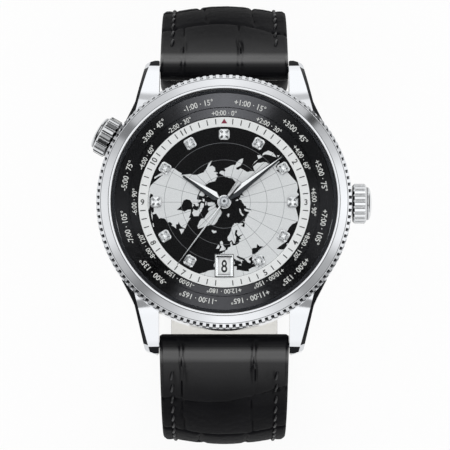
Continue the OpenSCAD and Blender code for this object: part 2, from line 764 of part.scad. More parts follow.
// Holder ring between movement and case, slotted for the two stems
module movement_ring() {
    z = rotor_z + 0.8;
    color("#3a3a3c") difference() {
        translate([0, 0, z]) ring(bore_r - 0.1, movement_r + 0.1, plate_top - z, $fn = 128);
        translate([0, -tube_d / 2 - 0.2, stem_z - tube_d / 2]) cube([case_r, tube_d + 0.4, 5]);
        rotate([0, 0, ring_crown_angle]) translate([movement_r + 0.8, -1.5, stem_z - 1.5])
            cube([case_r, 3, 5]);
    }
}

module main_plate() {
    color("gainsboro") difference() {
        translate([0, 0, plate_z]) cylinder(r = movement_r, h = plate_t, $fn = 128);
        translate([0, 0, plate_z - 1]) cylinder(r = center_tube_r + run, h = plate_t + 2);
        translate([pinion_x - 0.7, -1.35, plate_z - 1])
            cube([pinion_len + 1.1, 2.7, plate_t + 2]);
        translate([pinion_x, 0, stem_z]) rotate([0, 90, 0])
            cylinder(r = bore_stem_r, h = movement_r);
        for (p = [third_at, escape_at, balance_at, pallet_at])
            translate([p.x, p.y, plate_z - past]) cylinder(r = jewel_r + 0.01, h = 0.3 + past);
        for (p = [third_at, escape_at, balance_at, pallet_at])
            translate([p.x, p.y, plate_z]) cylinder(r = pivot_r + run, h = 0.7);
        translate([barrel_at.x, barrel_at.y, plate_z - past])
            cylinder(r = barrel_arbor_r + run, h = 0.8 + past);
    }
    color("gainsboro") translate([motion_at.x, motion_at.y, plate_top - 0.01])
        cylinder(r = 0.2, h = dial_z - plate_top - 0.08);
}

// Plates of the bridges
module bearing_holes(list) {
    for (p = list) translate([p.x, p.y, bridge_z - past]) {
        cylinder(r = pivot_r + run, h = bridge_t + 2 * past);
        translate([0, 0, bridge_t - 0.3 + past]) cylinder(r = jewel_r + 0.01, h = 1);
    }
}

module feet(list) {
    for (p = list) translate([p.x, p.y, bridge_z]) cylinder(d = foot_d, h = plate_z - bridge_z);
}

module screw_holes(list) {
    for (p = list) translate([p.x, p.y, bridge_z - past])
        cylinder(d = screw_d + 2 * seat, h = 0.3 + past);
}

module barrel_bridge() {
    color("silver") difference() {
        union() {
            translate([0, 0, bridge_z]) linear_extrude(bridge_t) intersection() {
                circle(movement_r, $fn = 128);
                rotate(barrel_angle) translate([1.6, -movement_r]) square(2 * movement_r);
            }
            feet(barrel_feet);
        }
        translate([barrel_at.x, barrel_at.y, bridge_z - past]) {
            cylinder(r = ratchet_r + 0.1, h = 0.3 + past);
            cylinder(r = barrel_arbor_r + run, h = 5);
        }
        screw_holes(barrel_feet);
    }
}

module train_bridge() {
    color("silver") difference() {
        union() {
            translate([0, 0, bridge_z]) linear_extrude(bridge_t) difference() {
                intersection() {
                    circle(movement_r, $fn = 128);
                    rotate(barrel_angle) translate([1.4 - 2 * movement_r, -movement_r])
                        square(2 * movement_r);
                }
                translate(balance_at) circle(balance_r + 0.2);
                bar_2d(cock_foot, balance_at, foot_d / 2 + 0.35, 1.6);
            }
            feet(train_feet);
        }
        bearing_holes([[0, 0], third_at, escape_at]);
        screw_holes(train_feet);
        translate([0, 0, bridge_z - past]) cylinder(r = 0.5 + seat, h = 0.3 + past);
    }
}

module balance_cock() {
    color("silver") difference() {
        union() {
            translate([0, 0, bridge_z]) linear_extrude(bridge_t)
                bar_2d(cock_foot, balance_at, foot_d / 2 + 0.15, 1.2);
            feet([cock_foot]);
        }
        bearing_holes([balance_at]);
        screw_holes([cock_foot]);
    }
}

module pallet_bridge() {
    color("silver") difference() {
        union() {
            translate([0, 0, pallet_bridge_z]) linear_extrude(0.22)
                bar_2d(pallet_feet[0], pallet_feet[1], 0.4, 0.4);
            for (p = pallet_feet) translate([p.x, p.y, pallet_bridge_z])
                cylinder(r = 0.4, h = plate_z - pallet_bridge_z);
        }
        translate([pallet_at.x, pallet_at.y, pallet_bridge_z - past])
            cylinder(r = pivot_r + run, h = 1);
    }
}

module jewel(p, z) {
    translate([p.x, p.y, z]) ring(jewel_r - 0.01, pivot_r + 0.02, 0.26, $fn = 48);
}

module jewels() {
    color("crimson") {
        for (p = [third_at, escape_at, balance_at, pallet_at]) jewel(p, plate_z + 0.02);
        for (p = [[0, 0], third_at, escape_at, balance_at]) jewel(p, train_z - 0.28);
    }
}

module bridge_screws() {
    color("slategray") for (p = concat(barrel_feet, train_feet, [cock_foot]))
        translate([p.x, p.y, bridge_z + 0.02]) difference() {
            cylinder(d = screw_d, h = 0.26, $fn = 32);
            translate([-1, -0.08, -past]) cube([2, 0.16, past + 0.1]);
        }
}

// Rotor and its post on the train bridge
module rotor_post() {
    color("silver") translate([0, 0, rotor_z - 0.1]) {
        cylinder(r = 0.5, h = bridge_z + 0.26 - rotor_z + 0.1);
        cylinder(r = 1.1, h = 0.08);
    }
}

module rotor() {
    r = movement_r - 0.3;
    color("silver") translate([0, 0, rotor_z]) difference() {
        union() {
            linear_extrude(rotor_t * 0.6) intersection() {
                circle(r, $fn = 128);
                rotate(30) union() {
                    translate([-r, -2 * r]) square(2 * r);
                    circle(2.2);
                }
            }
            linear_extrude(rotor_t) intersection() {
                difference() {
                    circle(r, $fn = 128);
                    circle(r - 2.4, $fn = 128);
                }
                rotate(30) translate([-r, -2 * r]) square(2 * r);
            }
        }
        translate([0, 0, -past]) cylinder(r = 0.5 + run, h = 3);
        for (a = [-55, 0, 55]) rotate([0, 0, a - 60]) translate([r * 0.5, 0, -past])
            cylinder(r = r * 0.17, h = 3);
    }
}

// Going train
module arbor(p, z0, z1, r = arbor_r) {
    translate([p.x, p.y, z0]) cylinder(r = r, h = z1 - z0, $fn = 32);
    translate([p.x, p.y, train_z - 0.26]) cylinder(r = pivot_r, h = z0 - train_z + 0.27, $fn = 24);
    translate([p.x, p.y, z1 - 0.01]) cylinder(r = pivot_r, h = plate_z + 0.26 - z1, $fn = 24);
}

module barrel() {
    r = barrel_m * (barrel_teeth / 2 - 1) - 0.25;
    color("gold") translate([barrel_at.x, barrel_at.y, 0]) difference() {
        union() {
            translate([0, 0, drum_z]) cylinder(r = r, h = drum_top - drum_z);
            translate([0, 0, drum_top - tooth_band]) linear_extrude(tooth_band)
                rotate(barrel_angle + 180) gear_2d(barrel_teeth, barrel_m);
        }
        translate([0, 0, drum_z + 0.12]) cylinder(r = r - 0.4, h = drum_top - drum_z - 0.24);
        translate([0, 0, drum_z - past]) cylinder(r = barrel_arbor_r + run, h = 3);
    }
}

// Flat spiral spring between two radii
module spiral(r_in, r_out, turns, t, h) {
    steps = 24 * turns;
    function r_at(i) = r_in + (r_out - r_in) * i / steps;
    linear_extrude(h) polygon(concat(
        [for (i = [0:steps]) polar(r_at(i) + t / 2, 15 * i)],
        [for (i = [steps:-1:0]) polar(r_at(i) - t / 2, 15 * i)]));
}

module mainspring() {
    r = barrel_m * (barrel_teeth / 2 - 1) - 0.65;
    color("lightsteelblue") translate([barrel_at.x, barrel_at.y, drum_z + 0.15])
        spiral(barrel_arbor_r + 0.15, r - 0.1, 8, 0.1, drum_top - drum_z - 0.3);
}

module ratchet_wheel() {
    color("silver") translate([barrel_at.x, barrel_at.y, 0]) {
        translate([0, 0, bridge_z + 0.04]) linear_extrude(0.24) gear_2d(ratchet_teeth, ratchet_m);
        translate([0, 0, bridge_z + 0.04])
            cylinder(r = barrel_arbor_r, h = plate_z + 0.75 - bridge_z - 0.04);
    }
}

module center_wheel() {
    color("gold") {
        translate([0, 0, center_z]) wheel(center_teeth, center_m, wheel_t, second_arbor_r + run,
            third_angle);
        translate([0, 0, drum_top - tooth_band]) linear_extrude(center_z - drum_top + tooth_band + 0.01)
            difference() {
                rotate(barrel_angle + 18) gear_2d(center_pinion_teeth, barrel_m);
                circle(second_arbor_r + run);
            }
        translate([0, 0, center_z]) difference() {
            cylinder(r = center_tube_r, h = minute_hand_z - 0.35 - center_z);
            translate([0, 0, -past]) cylinder(r = second_arbor_r + run, h = 9);
        }
    }
}

module third_wheel() {
    color("gold") {
        translate([third_at.x, third_at.y, third_z]) wheel(third_teeth, third_m, wheel_t, 0.1,
            third_angle + 180);
        translate([third_at.x, third_at.y, center_z - 0.05]) linear_extrude(wheel_t + 0.1)
            rotate(third_angle + 180 + 180 / third_pinion_teeth)
            gear_2d(third_pinion_teeth, center_m);
        arbor(third_at, third_z - 0.1, plate_z - 0.05);
    }
}

module fourth_wheel() {
    color("gold") {
        translate([0, 0, fourth_z]) wheel(fourth_teeth, escape_m, wheel_t, 0.1, escape_angle);
        translate([0, 0, fourth_z + wheel_t - 0.01]) linear_extrude(third_z + wheel_t + 0.05
            - fourth_z - wheel_t) rotate(third_angle + 180 / fourth_pinion_teeth)
            gear_2d(fourth_pinion_teeth, third_m);
        translate([0, 0, fourth_z]) cylinder(r = second_arbor_r, h = second_hand_z + 0.1 - fourth_z);
        translate([0, 0, train_z - 0.26]) cylinder(r = pivot_r, h = 0.4);
    }
}

module escape_wheel() {
    color("gold") translate([escape_at.x, escape_at.y, 0]) {
        translate([0, 0, escape_z]) linear_extrude(wheel_t) difference() {
            polygon([for (i = [0:escape_teeth - 1]) let (c = 24 * i) each [
                polar(escape_tip_r * 0.78, c - 9), polar(escape_tip_r * 0.8, c + 2),
                polar(escape_tip_r, c + 7), polar(escape_tip_r, c + 9)]]);
            for (i = [0:4]) rotate(72 * i) translate([escape_tip_r * 0.46, 0])
                circle(escape_tip_r * 0.19);
        }
        translate([0, 0, fourth_z - 0.02]) linear_extrude(wheel_t + 0.06)
            rotate(escape_angle + 180 + 180 / escape_pinion_teeth)
            gear_2d(escape_pinion_teeth, escape_m);
    }
    color("gold") arbor(escape_at, fourth_z - 0.02, plate_z - 0.05, 0.14);
}

// Pallet fork: lever from the escape wheel's stones to the horns beside the roller
module pallet_fork() {
    stone = escape_tip_r + 0.2;
    ends = [for (s = [-1, 1]) [stone * sin(34) * s, stone * cos(34) - pallet_to_escape]];
    color("goldenrod") translate([pallet_at.x, pallet_at.y, escape_z]) rotate(lever_dir - 90) {
        linear_extrude(wheel_t) union() {
            circle(0.28);
            for (e = ends) polygon([e * 1.28, e + [0, 0.02], [sign(e.x) * 0.08, -0.1],
                [sign(e.x) * 0.05, 0.2]]);
            translate([-0.1, 0]) square([0.2, pallet_to_balance - 1.1]);
            for (s = [-1, 1]) polygon([[0.1 * s, pallet_to_balance - 1.4],
                [0.4 * s, pallet_to_balance - 0.95], [0.34 * s, pallet_to_balance - 0.55],
                [0.14 * s, pallet_to_balance - 0.85], [0, pallet_to_balance - 1.15]]);
        }
        translate([0, 0, pallet_bridge_z - escape_z + 0.02])
            cylinder(r = pivot_r, h = plate_z + 0.26 - pallet_bridge_z - 0.02, $fn = 24);
    }
}

module balance_wheel() {
    rim = balance_r - 0.4;
    color("gold") translate([balance_at.x, balance_at.y, 0]) {
        translate([0, 0, balance_z]) linear_extrude(0.18) {
            difference() {
                circle(balance_r, $fn = 96);
                circle(rim, $fn = 96);
            }
            for (a = [0, 120, 240]) rotate(a + 15) translate([0, -0.2]) square([rim + 0.1, 0.4]);
            circle(0.7);
        }
        translate([0, 0, pallet_bridge_z - 0.17]) cylinder(r = 0.75, h = 0.12);
        translate([0.55 * cos(lever_dir + 180), 0.55 * sin(lever_dir + 180), pallet_bridge_z - 0.06])
            cylinder(r = 0.1, h = escape_z - 0.05 - pallet_bridge_z + 0.06, $fn = 24);
        translate([0, 0, train_z + 0.06]) cylinder(r = 0.35, h = 0.24);
    }
    color("gold") arbor(balance_at, train_z + 0.06, plate_z - 0.05);
}

module hairspring() {
    color("steelblue") translate([balance_at.x, balance_at.y, train_z + 0.1])
        rotate(lever_dir) spiral(0.5, 2.3, 7, 0.06, 0.16);
    stud = balance_at + polar(2.33, lever_dir);
    color("silver") translate([stud.x, stud.y, train_z + 0.02]) cylinder(r = 0.12, h = 0.24, $fn = 24);
}

// Motion work and calendar under the dial
module cannon_pinion() {
    color("silver") difference() {
        union() {
            translate([0, 0, minute_wheel_z - 0.03]) linear_extrude(wheel_t + 0.06)
                rotate(motion_angle + 180 / cannon_teeth) gear_2d(cannon_teeth, motion_m);
            translate([0, 0, minute_wheel_z]) cylinder(r = cannon_r, h = minute_hand_z - minute_wheel_z);
        }
        translate([0, 0, plate_top - 1]) cylinder(r = center_tube_r + run, h = 9);
    }
}

module minute_wheel() {
    color("gold") translate([motion_at.x, motion_at.y, 0]) difference() {
        union() {
            translate([0, 0, minute_wheel_z]) linear_extrude(wheel_t)
                rotate(motion_angle + 180) gear_2d(minute_wheel_teeth, motion_m);
            translate([0, 0, minute_wheel_z + 0.01]) linear_extrude(hour_wheel_z + wheel_t - minute_wheel_z)
                rotate(motion_angle + 180) gear_2d(minute_pinion_teeth, hour_m);
        }
        translate([0, 0, plate_top - 1]) cylinder(r = 0.2 + run, h = 9);
    }
}

module hour_wheel() {
    color("gold") difference() {
        union() {
            translate([0, 0, hour_wheel_z]) linear_extrude(wheel_t)
                rotate(motion_angle + 180 / hour_wheel_teeth) gear_2d(hour_wheel_teeth, hour_m);
            translate([0, 0, hour_wheel_z]) cylinder(r = hour_tube_r, h = hour_hand_z - hour_wheel_z);
        }
        translate([0, 0, hour_wheel_z - 1]) cylinder(r = cannon_r + run, h = 9);
    }
}

module date_disc() {
    color("white") translate([0, 0, date_z]) linear_extrude(date_t) difference() {
        circle(date_disc_r, $fn = 128);
        circle(date_r - date_h / 2 - 0.5, $fn = 128);
        for (i = [0:30]) rotate(360 * i / 31) translate([date_r - date_h / 2 - 0.5, 0])
            circle(0.25, $fn = 16);
    }
}

// Hands: roofed blades pressed on their tubes. Stations are [along, half width]
module blade(stations, edge_h, ridge_h) {
    loft([for (q = stations) [[-q[1], q[0], 0], [-q[1], q[0], edge_h], [0, q[0], ridge_h],
        [q[1], q[0], edge_h], [q[1], q[0], 0]]]);
}

module hour_hand() {
    color("silver") translate([0, 0, hour_hand_z]) difference() {
        union() {
            translate([0, 0, -0.2]) cylinder(r = 1.15, h = hand_t + 0.2);
            rotate([0, 0, -hour_angle])
                blade([[0.95, 0.28], [1.95, hour_w / 2], [hour_len, 0.18]], 0.05, hand_t + 0.06);
        }
        translate([0, 0, -1]) cylinder(r = hour_tube_r + 0.005, h = 1);
        translate([0, 0, -0.01]) cylinder(r = cannon_r + run, h = 1);
    }
}

module minute_hand() {
    color("silver") translate([0, 0, minute_hand_z]) difference() {
        union() {
            translate([0, 0, -0.12]) cylinder(r = 0.95, h = hand_t + 0.12);
            rotate([0, 0, -minute_angle])
                blade([[0.75, 0.3], [2.5, minute_w / 2], [minute_len, 0.2]], 0.05, hand_t + 0.06);
        }
        translate([0, 0, -1]) cylinder(r = cannon_r + 0.005, h = 1);
        translate([0, 0, -0.01]) cylinder(r = second_arbor_r + run, h = 1);
    }
}

module second_hand() {
    color("silver") translate([0, 0, second_hand_z]) difference() {
        union() {
            cylinder(r = 0.82, h = hand_t + 0.08);
            rotate([0, 0, -second_angle]) blade([[0.6, 0.16], [second_len, 0.07]], 0.08, 0.12);
            rotate([0, 0, 180 - second_angle])
                blade([[0.6, 0.16], [second_tail * 0.5, 0.26], [second_tail, 0.36]], 0.08, 0.12);
        }
        translate([0, 0, -1]) cylinder(r = second_arbor_r + 0.005, h = 1.12);
    }
}

// Spring bars
module spring_bar(side) {
    color("silver") translate([0, side * bar_y, bar_z]) rotate([0, 90, 0]) {
        cylinder(d = bar_d, h = lug_gap - 0.4, center = true);
        cylinder(d = bar_pin_d, h = lug_gap + 2 * pin_len - 0.2, center = true);
    }
}

module spring_bar_12() {
    spring_bar(1);
}

module spring_bar_6() {
    spring_bar(-1);
}

// Strap halves: padded outer leather with a loop round its bar, and flat lining
module at_strap(s, side) {
    p = spot(s);
    translate([0, side * p.x, p.y]) rotate([side > 0 ? -fall(s) : 180 + fall(s), 0, 0]) children();
}

module loop_of_leather(at, r, w) {
    translate([0, at.x, at.y]) rotate([0, 90, 0]) cylinder(r = r, h = w, center = true);
}

module bar_bore(at, d, w) {
    translate([0, at.x, at.y]) rotate([0, 90, 0])
        cylinder(r = d / 2 + soft_gap, h = w + 1, center = true);
}

module tongue_slot() {
    at_strap(strap_short, 1) translate([-slot_w / 2, -slot_len, -strap_t])
        cube([slot_w, 2 * slot_len, 2 * strap_t]);
}

module strap_12_upper() {
    list = short_stations(0.4, strap_short - 0.4);
    color("#141414") difference() {
        union() {
            loft([for (s = list) place(upper_section(s, half_w(s)), s, 1)]);
            loop_of_leather([bar_y, bar_z], loop_r, strap_w);
            loop_of_leather(buckle_at, loop_end_r, strap_end_w);
        }
        bar_bore([bar_y, bar_z], bar_d, strap_w);
        bar_bore(buckle_at, bar_d, strap_end_w);
        tongue_slot();
    }
}

module strap_12_lining() {
    list = short_stations(0.4, strap_short - 0.4);
    color("tan") difference() {
        loft([for (s = list) if (s > loop_r + 0.3 && s < strap_short - loop_end_r - 0.3)
            place(lining_section(s, half_w(s)), s, 1)]);
        tongue_slot();
    }
}

module strap_holes() {
    for (i = [0:hole_count - 1]) at_strap(strap_long - tip_to_hole - hole_pitch * i, -1)
        cylinder(d = hole_d, h = 3 * strap_t, center = true, $fn = 24);
}

module strap_6_upper() {
    list = stations(0.4, strap_long);
    color("#141414") difference() {
        union() {
            loft([for (s = list) place(upper_section(s, tip_w(s, strap_long)), s, -1)]);
            loop_of_leather([-bar_y, bar_z], loop_r, strap_w);
        }
        bar_bore([-bar_y, bar_z], bar_d, strap_w);
        strap_holes();
    }
}

module strap_6_lining() {
    list = stations(0.4, strap_long);
    color("tan") difference() {
        loft([for (s = list) if (s > loop_r + 0.3)
            place(lining_section(s, tip_w(s, strap_long)), s, -1)]);
        strap_holes();
    }
}

// Keepers: closed leather bands round the short half
module keeper(s, gap) {
    w = half_w(s - keeper_travel) + gap;
    low = -thick(s) / 2 - gap;
    high = thick(s) / 2 + crown_at(s - keeper_travel) + strap_tip_t + 2 * gap;
    at_strap(s, 1) rotate([90, 0, 0]) linear_extrude(keeper_w, center = true) difference() {
        translate([-w - keeper_t, low - keeper_t]) square([2 * (w + keeper_t), high - low + 2 * keeper_t]);
        translate([-w, low]) square([2 * w, high - low]);
    }
}

module keeper_fixed() {
    color("#141414") keeper(keeper_fixed_s, keeper_fixed_gap);
}

module keeper_free() {
    color("#141414") keeper(keeper_free_s, keeper_free_gap);
}

// Buckle: frame with two eyes on the bar, and a tongue that lies on its far bar
module at_buckle() {
    translate([0, buckle_at.x, buckle_at.y]) rotate([-frame_fall, 0, 0]) children();
}

module buckle_bar() {
    color("silver") at_buckle() rotate([0, 90, 0])
        cylinder(d = bar_d, h = frame_inner + 2 * frame_side_w - 0.4, center = true);
}

module buckle_frame() {
    w = frame_inner / 2;
    color("silver") at_buckle() difference() {
        union() {
            translate([0, 0, -frame_t / 2]) linear_extrude(frame_t) difference() {
                translate([-w - frame_side_w, 0])
                    square([2 * (w + frame_side_w), frame_len + frame_far_w / 2]);
                translate([-w, -1]) square([2 * w, frame_len - frame_far_w / 2 + 1]);
                for (s = [-1, 1]) translate([s * (w + frame_side_w), frame_len + frame_far_w / 2])
                    rotate(45) square(2.2, center = true);
            }
            for (s = [-1, 1]) translate([s * (w + frame_side_w / 2), 0, 0]) rotate([0, 90, 0])
                cylinder(d = frame_t + 0.2, h = frame_side_w, center = true);
        }
        rotate([0, 90, 0]) cylinder(r = bar_d / 2 + run, h = 3 * w, center = true);
        translate([-tongue_w / 2 - 0.2, frame_len - frame_far_w, tongue_low - 0.1])
            cube([tongue_w + 0.4, 2 * frame_far_w, frame_t]);
    }
}

module buckle_tongue() {
    color("silver") at_buckle() {
        difference() {
            rotate([0, 90, 0]) cylinder(r = bar_d / 2 + 0.75, h = tongue_w, center = true);
            rotate([0, 90, 0]) cylinder(r = bar_d / 2 + run, h = 4, center = true);
        }
        translate([-tongue_w / 2, bar_d / 2 + 0.3, tongue_low])
            cube([tongue_w, frame_len + frame_far_w / 4 - bar_d / 2, tongue_t]);
    }
}

case_middle();
bezel();
crystal();
crystal_gasket();
minute_track_ring();
dial();
hour_markers();
date_frame();
movement_ring();
case_back();
case_back_glass();
case_back_gasket();
crown_tube();
ring_crown_tube();
spring_bar_12();
spring_bar_6();
main_plate();
barrel_bridge();
train_bridge();
balance_cock();
pallet_bridge();
jewels();
bridge_screws();
rotor_post();
hairspring();
crown();
winding_stem();
sliding_pinion();
ring_crown();
ring_crown_stem();
city_ring();
cannon_pinion();
minute_hand();
minute_wheel();
hour_wheel();
hour_hand();
date_disc();
second_hand();
fourth_wheel();
third_wheel();
center_wheel();
barrel();
mainspring();
ratchet_wheel();
escape_wheel();
pallet_fork();
balance_wheel();
rotor();
strap_12_upper();
strap_12_lining();
strap_6_upper();
strap_6_lining();
keeper_fixed();
keeper_free();
buckle_frame();
buckle_bar();
buckle_tongue();
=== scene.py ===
# World-time wristwatch on a croc-grain strap: the finish and the soft parts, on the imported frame
import json
import math
import random
import bpy
from mathutils import Matrix, Vector, noise


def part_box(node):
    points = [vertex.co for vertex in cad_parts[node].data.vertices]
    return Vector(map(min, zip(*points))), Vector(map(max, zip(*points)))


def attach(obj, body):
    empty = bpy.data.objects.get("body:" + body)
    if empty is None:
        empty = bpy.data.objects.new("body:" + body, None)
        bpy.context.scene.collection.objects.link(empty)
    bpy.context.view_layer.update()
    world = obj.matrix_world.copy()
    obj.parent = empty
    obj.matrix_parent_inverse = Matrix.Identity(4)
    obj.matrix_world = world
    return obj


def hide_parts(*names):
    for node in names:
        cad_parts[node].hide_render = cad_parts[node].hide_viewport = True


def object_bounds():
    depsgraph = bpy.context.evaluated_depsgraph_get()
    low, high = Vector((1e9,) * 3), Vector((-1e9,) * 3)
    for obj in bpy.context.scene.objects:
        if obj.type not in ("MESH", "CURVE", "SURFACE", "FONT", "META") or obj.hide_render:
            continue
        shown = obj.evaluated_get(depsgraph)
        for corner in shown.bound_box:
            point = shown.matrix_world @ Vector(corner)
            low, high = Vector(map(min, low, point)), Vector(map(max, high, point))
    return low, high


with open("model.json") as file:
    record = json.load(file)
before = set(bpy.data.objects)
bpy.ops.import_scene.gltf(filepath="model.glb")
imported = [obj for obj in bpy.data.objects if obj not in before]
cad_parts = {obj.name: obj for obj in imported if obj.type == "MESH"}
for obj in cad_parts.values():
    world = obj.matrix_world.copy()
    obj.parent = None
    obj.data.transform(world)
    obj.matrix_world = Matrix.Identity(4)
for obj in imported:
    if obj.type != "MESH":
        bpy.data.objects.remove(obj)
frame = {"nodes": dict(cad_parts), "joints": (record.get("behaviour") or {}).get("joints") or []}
cad_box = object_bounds()

# Camera
# The watch is seen almost from above, tilted 7.5 degrees towards 6 o'clock, from 600 mm.
# The photograph's 450 pixels span 75.6 mm at the dial, whose middle lies a little above centre.
mm = 0.001
view_rise = math.radians(82.5)
view_distance = 600 * mm
view_width = 75.6 * mm
view_centre = Vector((0.13, -3.86, 6.6)) * mm
lens = bpy.data.cameras.new("camera")
lens.lens = lens.sensor_width * view_distance / view_width
camera = bpy.data.objects.new("camera", lens)
bpy.context.scene.collection.objects.link(camera)
view_line = Vector((0, -math.cos(view_rise), math.sin(view_rise)))
camera.location = view_centre + view_distance * view_line
camera.rotation_euler = view_line.to_track_quat("Z", "Y").to_euler()
bpy.context.scene.camera = camera


# Main plate and bridges
# Brass blanks, plated with rhodium. The bridges are ground in broad stripes, the plate is
# spotted with a turning peg, and both are screwed together round the wheels.
def paint(hex_code):
    """An sRGB hex colour as linear red, green, blue and 1."""
    channels = [int(hex_code[i:i + 2], 16) / 255 for i in (0, 2, 4)]
    return [c / 12.92 if c <= 0.04045 else ((c + 0.055) / 1.055) ** 2.4 for c in channels] + [1]


def add_node(tree, kind, inputs=None, **settings):
    """Adds a shader node. Inputs are values, or the sockets that feed them."""
    made = tree.nodes.new("ShaderNode" + kind)
    for name, value in settings.items():
        setattr(made, name, value)
    for name, value in (inputs or {}).items():
        if isinstance(value, bpy.types.NodeSocket):
            tree.links.new(value, made.inputs[name])
        else:
            made.inputs[name].default_value = value
    return made


def start_finish(name, **shader):
    """A new material: its node tree and its main shader, with these socket values."""
    made = bpy.data.materials.new(name)
    made.use_nodes = True
    tree = made.node_tree
    surface = tree.nodes["Principled BSDF"]
    for socket, value in shader.items():
        surface.inputs[socket.replace("_", " ")].default_value = value
    return made, tree, surface


def roughen(tree, surface, pattern, low, high):
    """Roughness between two values, by a 0 to 1 pattern."""
    spread = add_node(tree, "MapRange", {"Value": pattern, "To Min": low, "To Max": high})
    tree.links.new(spread.outputs["Result"], surface.inputs["Roughness"])


def shade(tree, surface, pattern, dark, light):
    """Colour between two others, by a 0 to 1 pattern."""
    mix = add_node(tree, "Mix", {0: pattern, 6: paint(dark), 7: paint(light)}, data_type="RGBA")
    tree.links.new(mix.outputs[2], surface.inputs["Base Color"])


def relief(tree, surface, pattern, depth):
    """Bump from a 0 to 1 pattern, with its depth in millimetres."""
    bump = add_node(tree, "Bump", {"Height": pattern, "Distance": depth * mm, "Strength": 1.0})
    tree.links.new(bump.outputs["Normal"], surface.inputs["Normal"])


def dress(finish, *names):
    """Gives CAD nodes a finish; their shape stays as it is."""
    for name in names:
        slots = frame["nodes"][name].data.materials
        slots.clear()
        slots.append(finish)


stripe_w = 1.3 * mm
stripe_turn = 32
graining = 0.05 * mm


def striped_rhodium():
    """Striped rhodium plate: each stripe is a shallow trough, full of fine arcs of the stone."""
    finish, tree, surface = start_finish("striped_rhodium", Metallic=1.0)
    where = add_node(tree, "TexCoord").outputs["Object"]
    turned = add_node(tree, "Mapping", {"Vector": where,
                      "Rotation": (0, 0, math.radians(stripe_turn))})
    stripes = add_node(tree, "TexWave", {"Vector": turned.outputs[0], "Scale": math.pi / 10 / stripe_w,
                       "Distortion": 0.0}, wave_profile="SAW")
    grain = add_node(tree, "TexNoise", {"Vector": turned.outputs[0], "Scale": 0.1 / graining,
                     "Detail": 4.0})
    shade(tree, surface, stripes.outputs["Fac"], "A9A7A2", "E6E4DF")
    roughen(tree, surface, grain.outputs["Fac"], 0.18, 0.42)
    relief(tree, surface, stripes.outputs["Fac"], 0.06)
    return finish


spot_size = 0.9 * mm
spot_rings = 40.0


def spotted_rhodium():
    """Spotted rhodium plate: overlapping rings left by a turning peg, each a little brighter."""
    finish, tree, surface = start_finish("spotted_rhodium", Metallic=1.0)
    where = add_node(tree, "TexCoord").outputs["Object"]
    spots = add_node(tree, "TexVoronoi", {"Vector": where, "Scale": 1 / spot_size,
                     "Randomness": 0.15}, voronoi_dimensions="2D")
    rings = add_node(tree, "Math", {0: spots.outputs["Distance"], 1: spot_rings}, operation="MULTIPLY")
    waves = add_node(tree, "Math", {0: rings.outputs[0]}, operation="SINE")
    shade(tree, surface, spots.outputs["Distance"], "D9D6CF", "A5A29B")
    roughen(tree, surface, spots.outputs["Distance"], 0.22, 0.4)
    relief(tree, surface, waves.outputs[0], 0.01)
    return finish


dress(striped_rhodium(), "barrel_bridge", "train_bridge", "balance_cock", "pallet_bridge")
dress(spotted_rhodium(), "main_plate")


# Barrel, train and motion work
# Wheels are stamped from brass sheet, gilded and circular-grained; pinions are cut from steel.
# They turn between the plate and the bridges, and the motion work sits under the dial.
def grained_metal(name, dark, light, rough_low, rough_high, grain_w, squeeze=(1, 1, 1)):
    """Metal with a fine grain of the given width, stretched by squeeze along each axis."""
    finish, tree, surface = start_finish(name, Metallic=1.0)
    where = add_node(tree, "TexCoord").outputs["Object"]
    stretched = add_node(tree, "Mapping", {"Vector": where, "Scale": squeeze})
    grain = add_node(tree, "TexNoise", {"Vector": stretched.outputs[0], "Scale": 0.5 / grain_w,
                     "Detail": 3.0, "Roughness": 0.6})
    cloud = add_node(tree, "TexNoise", {"Vector": where, "Scale": 0.1 / mm, "Detail": 1.0})
    shade(tree, surface, cloud.outputs["Fac"], dark, light)
    roughen(tree, surface, grain.outputs["Fac"], rough_low, rough_high)
    relief(tree, surface, grain.outputs["Fac"], 0.004)
    return finish


# Gilt brass: warm and soft, with a matt grain left by the acid bath before gilding
gilt_brass = grained_metal("gilt_brass", "C9A255", "E2BF74", 0.22, 0.4, 0.08 * mm)
# Hardened steel: cold grey, ground and only half polished
ground_steel = grained_metal("ground_steel", "8E9095", "B4B6BA", 0.2, 0.36, 0.06 * mm)
# Blued steel: a deep blue oxide from the oven, over a polished surface
blued_steel = grained_metal("blued_steel", "15265E", "24408F", 0.12, 0.24, 0.08 * mm)
dress(gilt_brass, "barrel", "center_wheel", "third_wheel", "fourth_wheel", "balance_wheel",
      "hour_wheel", "minute_wheel")
dress(ground_steel, "escape_wheel", "pallet_fork", "ratchet_wheel", "cannon_pinion", "mainspring",
      "rotor_post", "winding_stem", "sliding_pinion", "ring_crown_stem")
dress(blued_steel, "bridge_screws", "hairspring")


# Jewels
# Synthetic ruby rings, drilled and polished, pressed into the plate and bridges as bearings.
def ruby():
    """Ruby: clear and deep red, with a painted highlight: paler towards its rim."""
    finish, tree, surface = start_finish("ruby", IOR=1.76, Roughness=0.05, Transmission_Weight=0.35)
    rim = add_node(tree, "LayerWeight", {"Blend": 0.35})
    # Painted highlight: the colour is paler where the face turns away
    shade(tree, surface, rim.outputs["Facing"], "B0102F", "E0577A")
    return finish


dress(ruby(), "jewels")

# Winding weight
# A heavy half disc, striped like the bridges, that turns on its post under the back glass.
dress(striped_rhodium(), "rotor")


# Movement holder
# A ring moulded in grey acetal, which centres the movement in the case.
def moulded(name, dark, light, roughness, texture_w):
    """Moulded polymer: an even colour with the fine spark-eroded texture of the mould."""
    finish, tree, surface = start_finish(name)
    where = add_node(tree, "TexCoord").outputs["Object"]
    texture = add_node(tree, "TexNoise", {"Vector": where, "Scale": 0.5 / texture_w, "Detail": 2.0})
    shade(tree, surface, texture.outputs["Fac"], dark, light)
    roughen(tree, surface, texture.outputs["Fac"], roughness - 0.08, roughness + 0.08)
    relief(tree, surface, texture.outputs["Fac"], 0.008)
    return finish


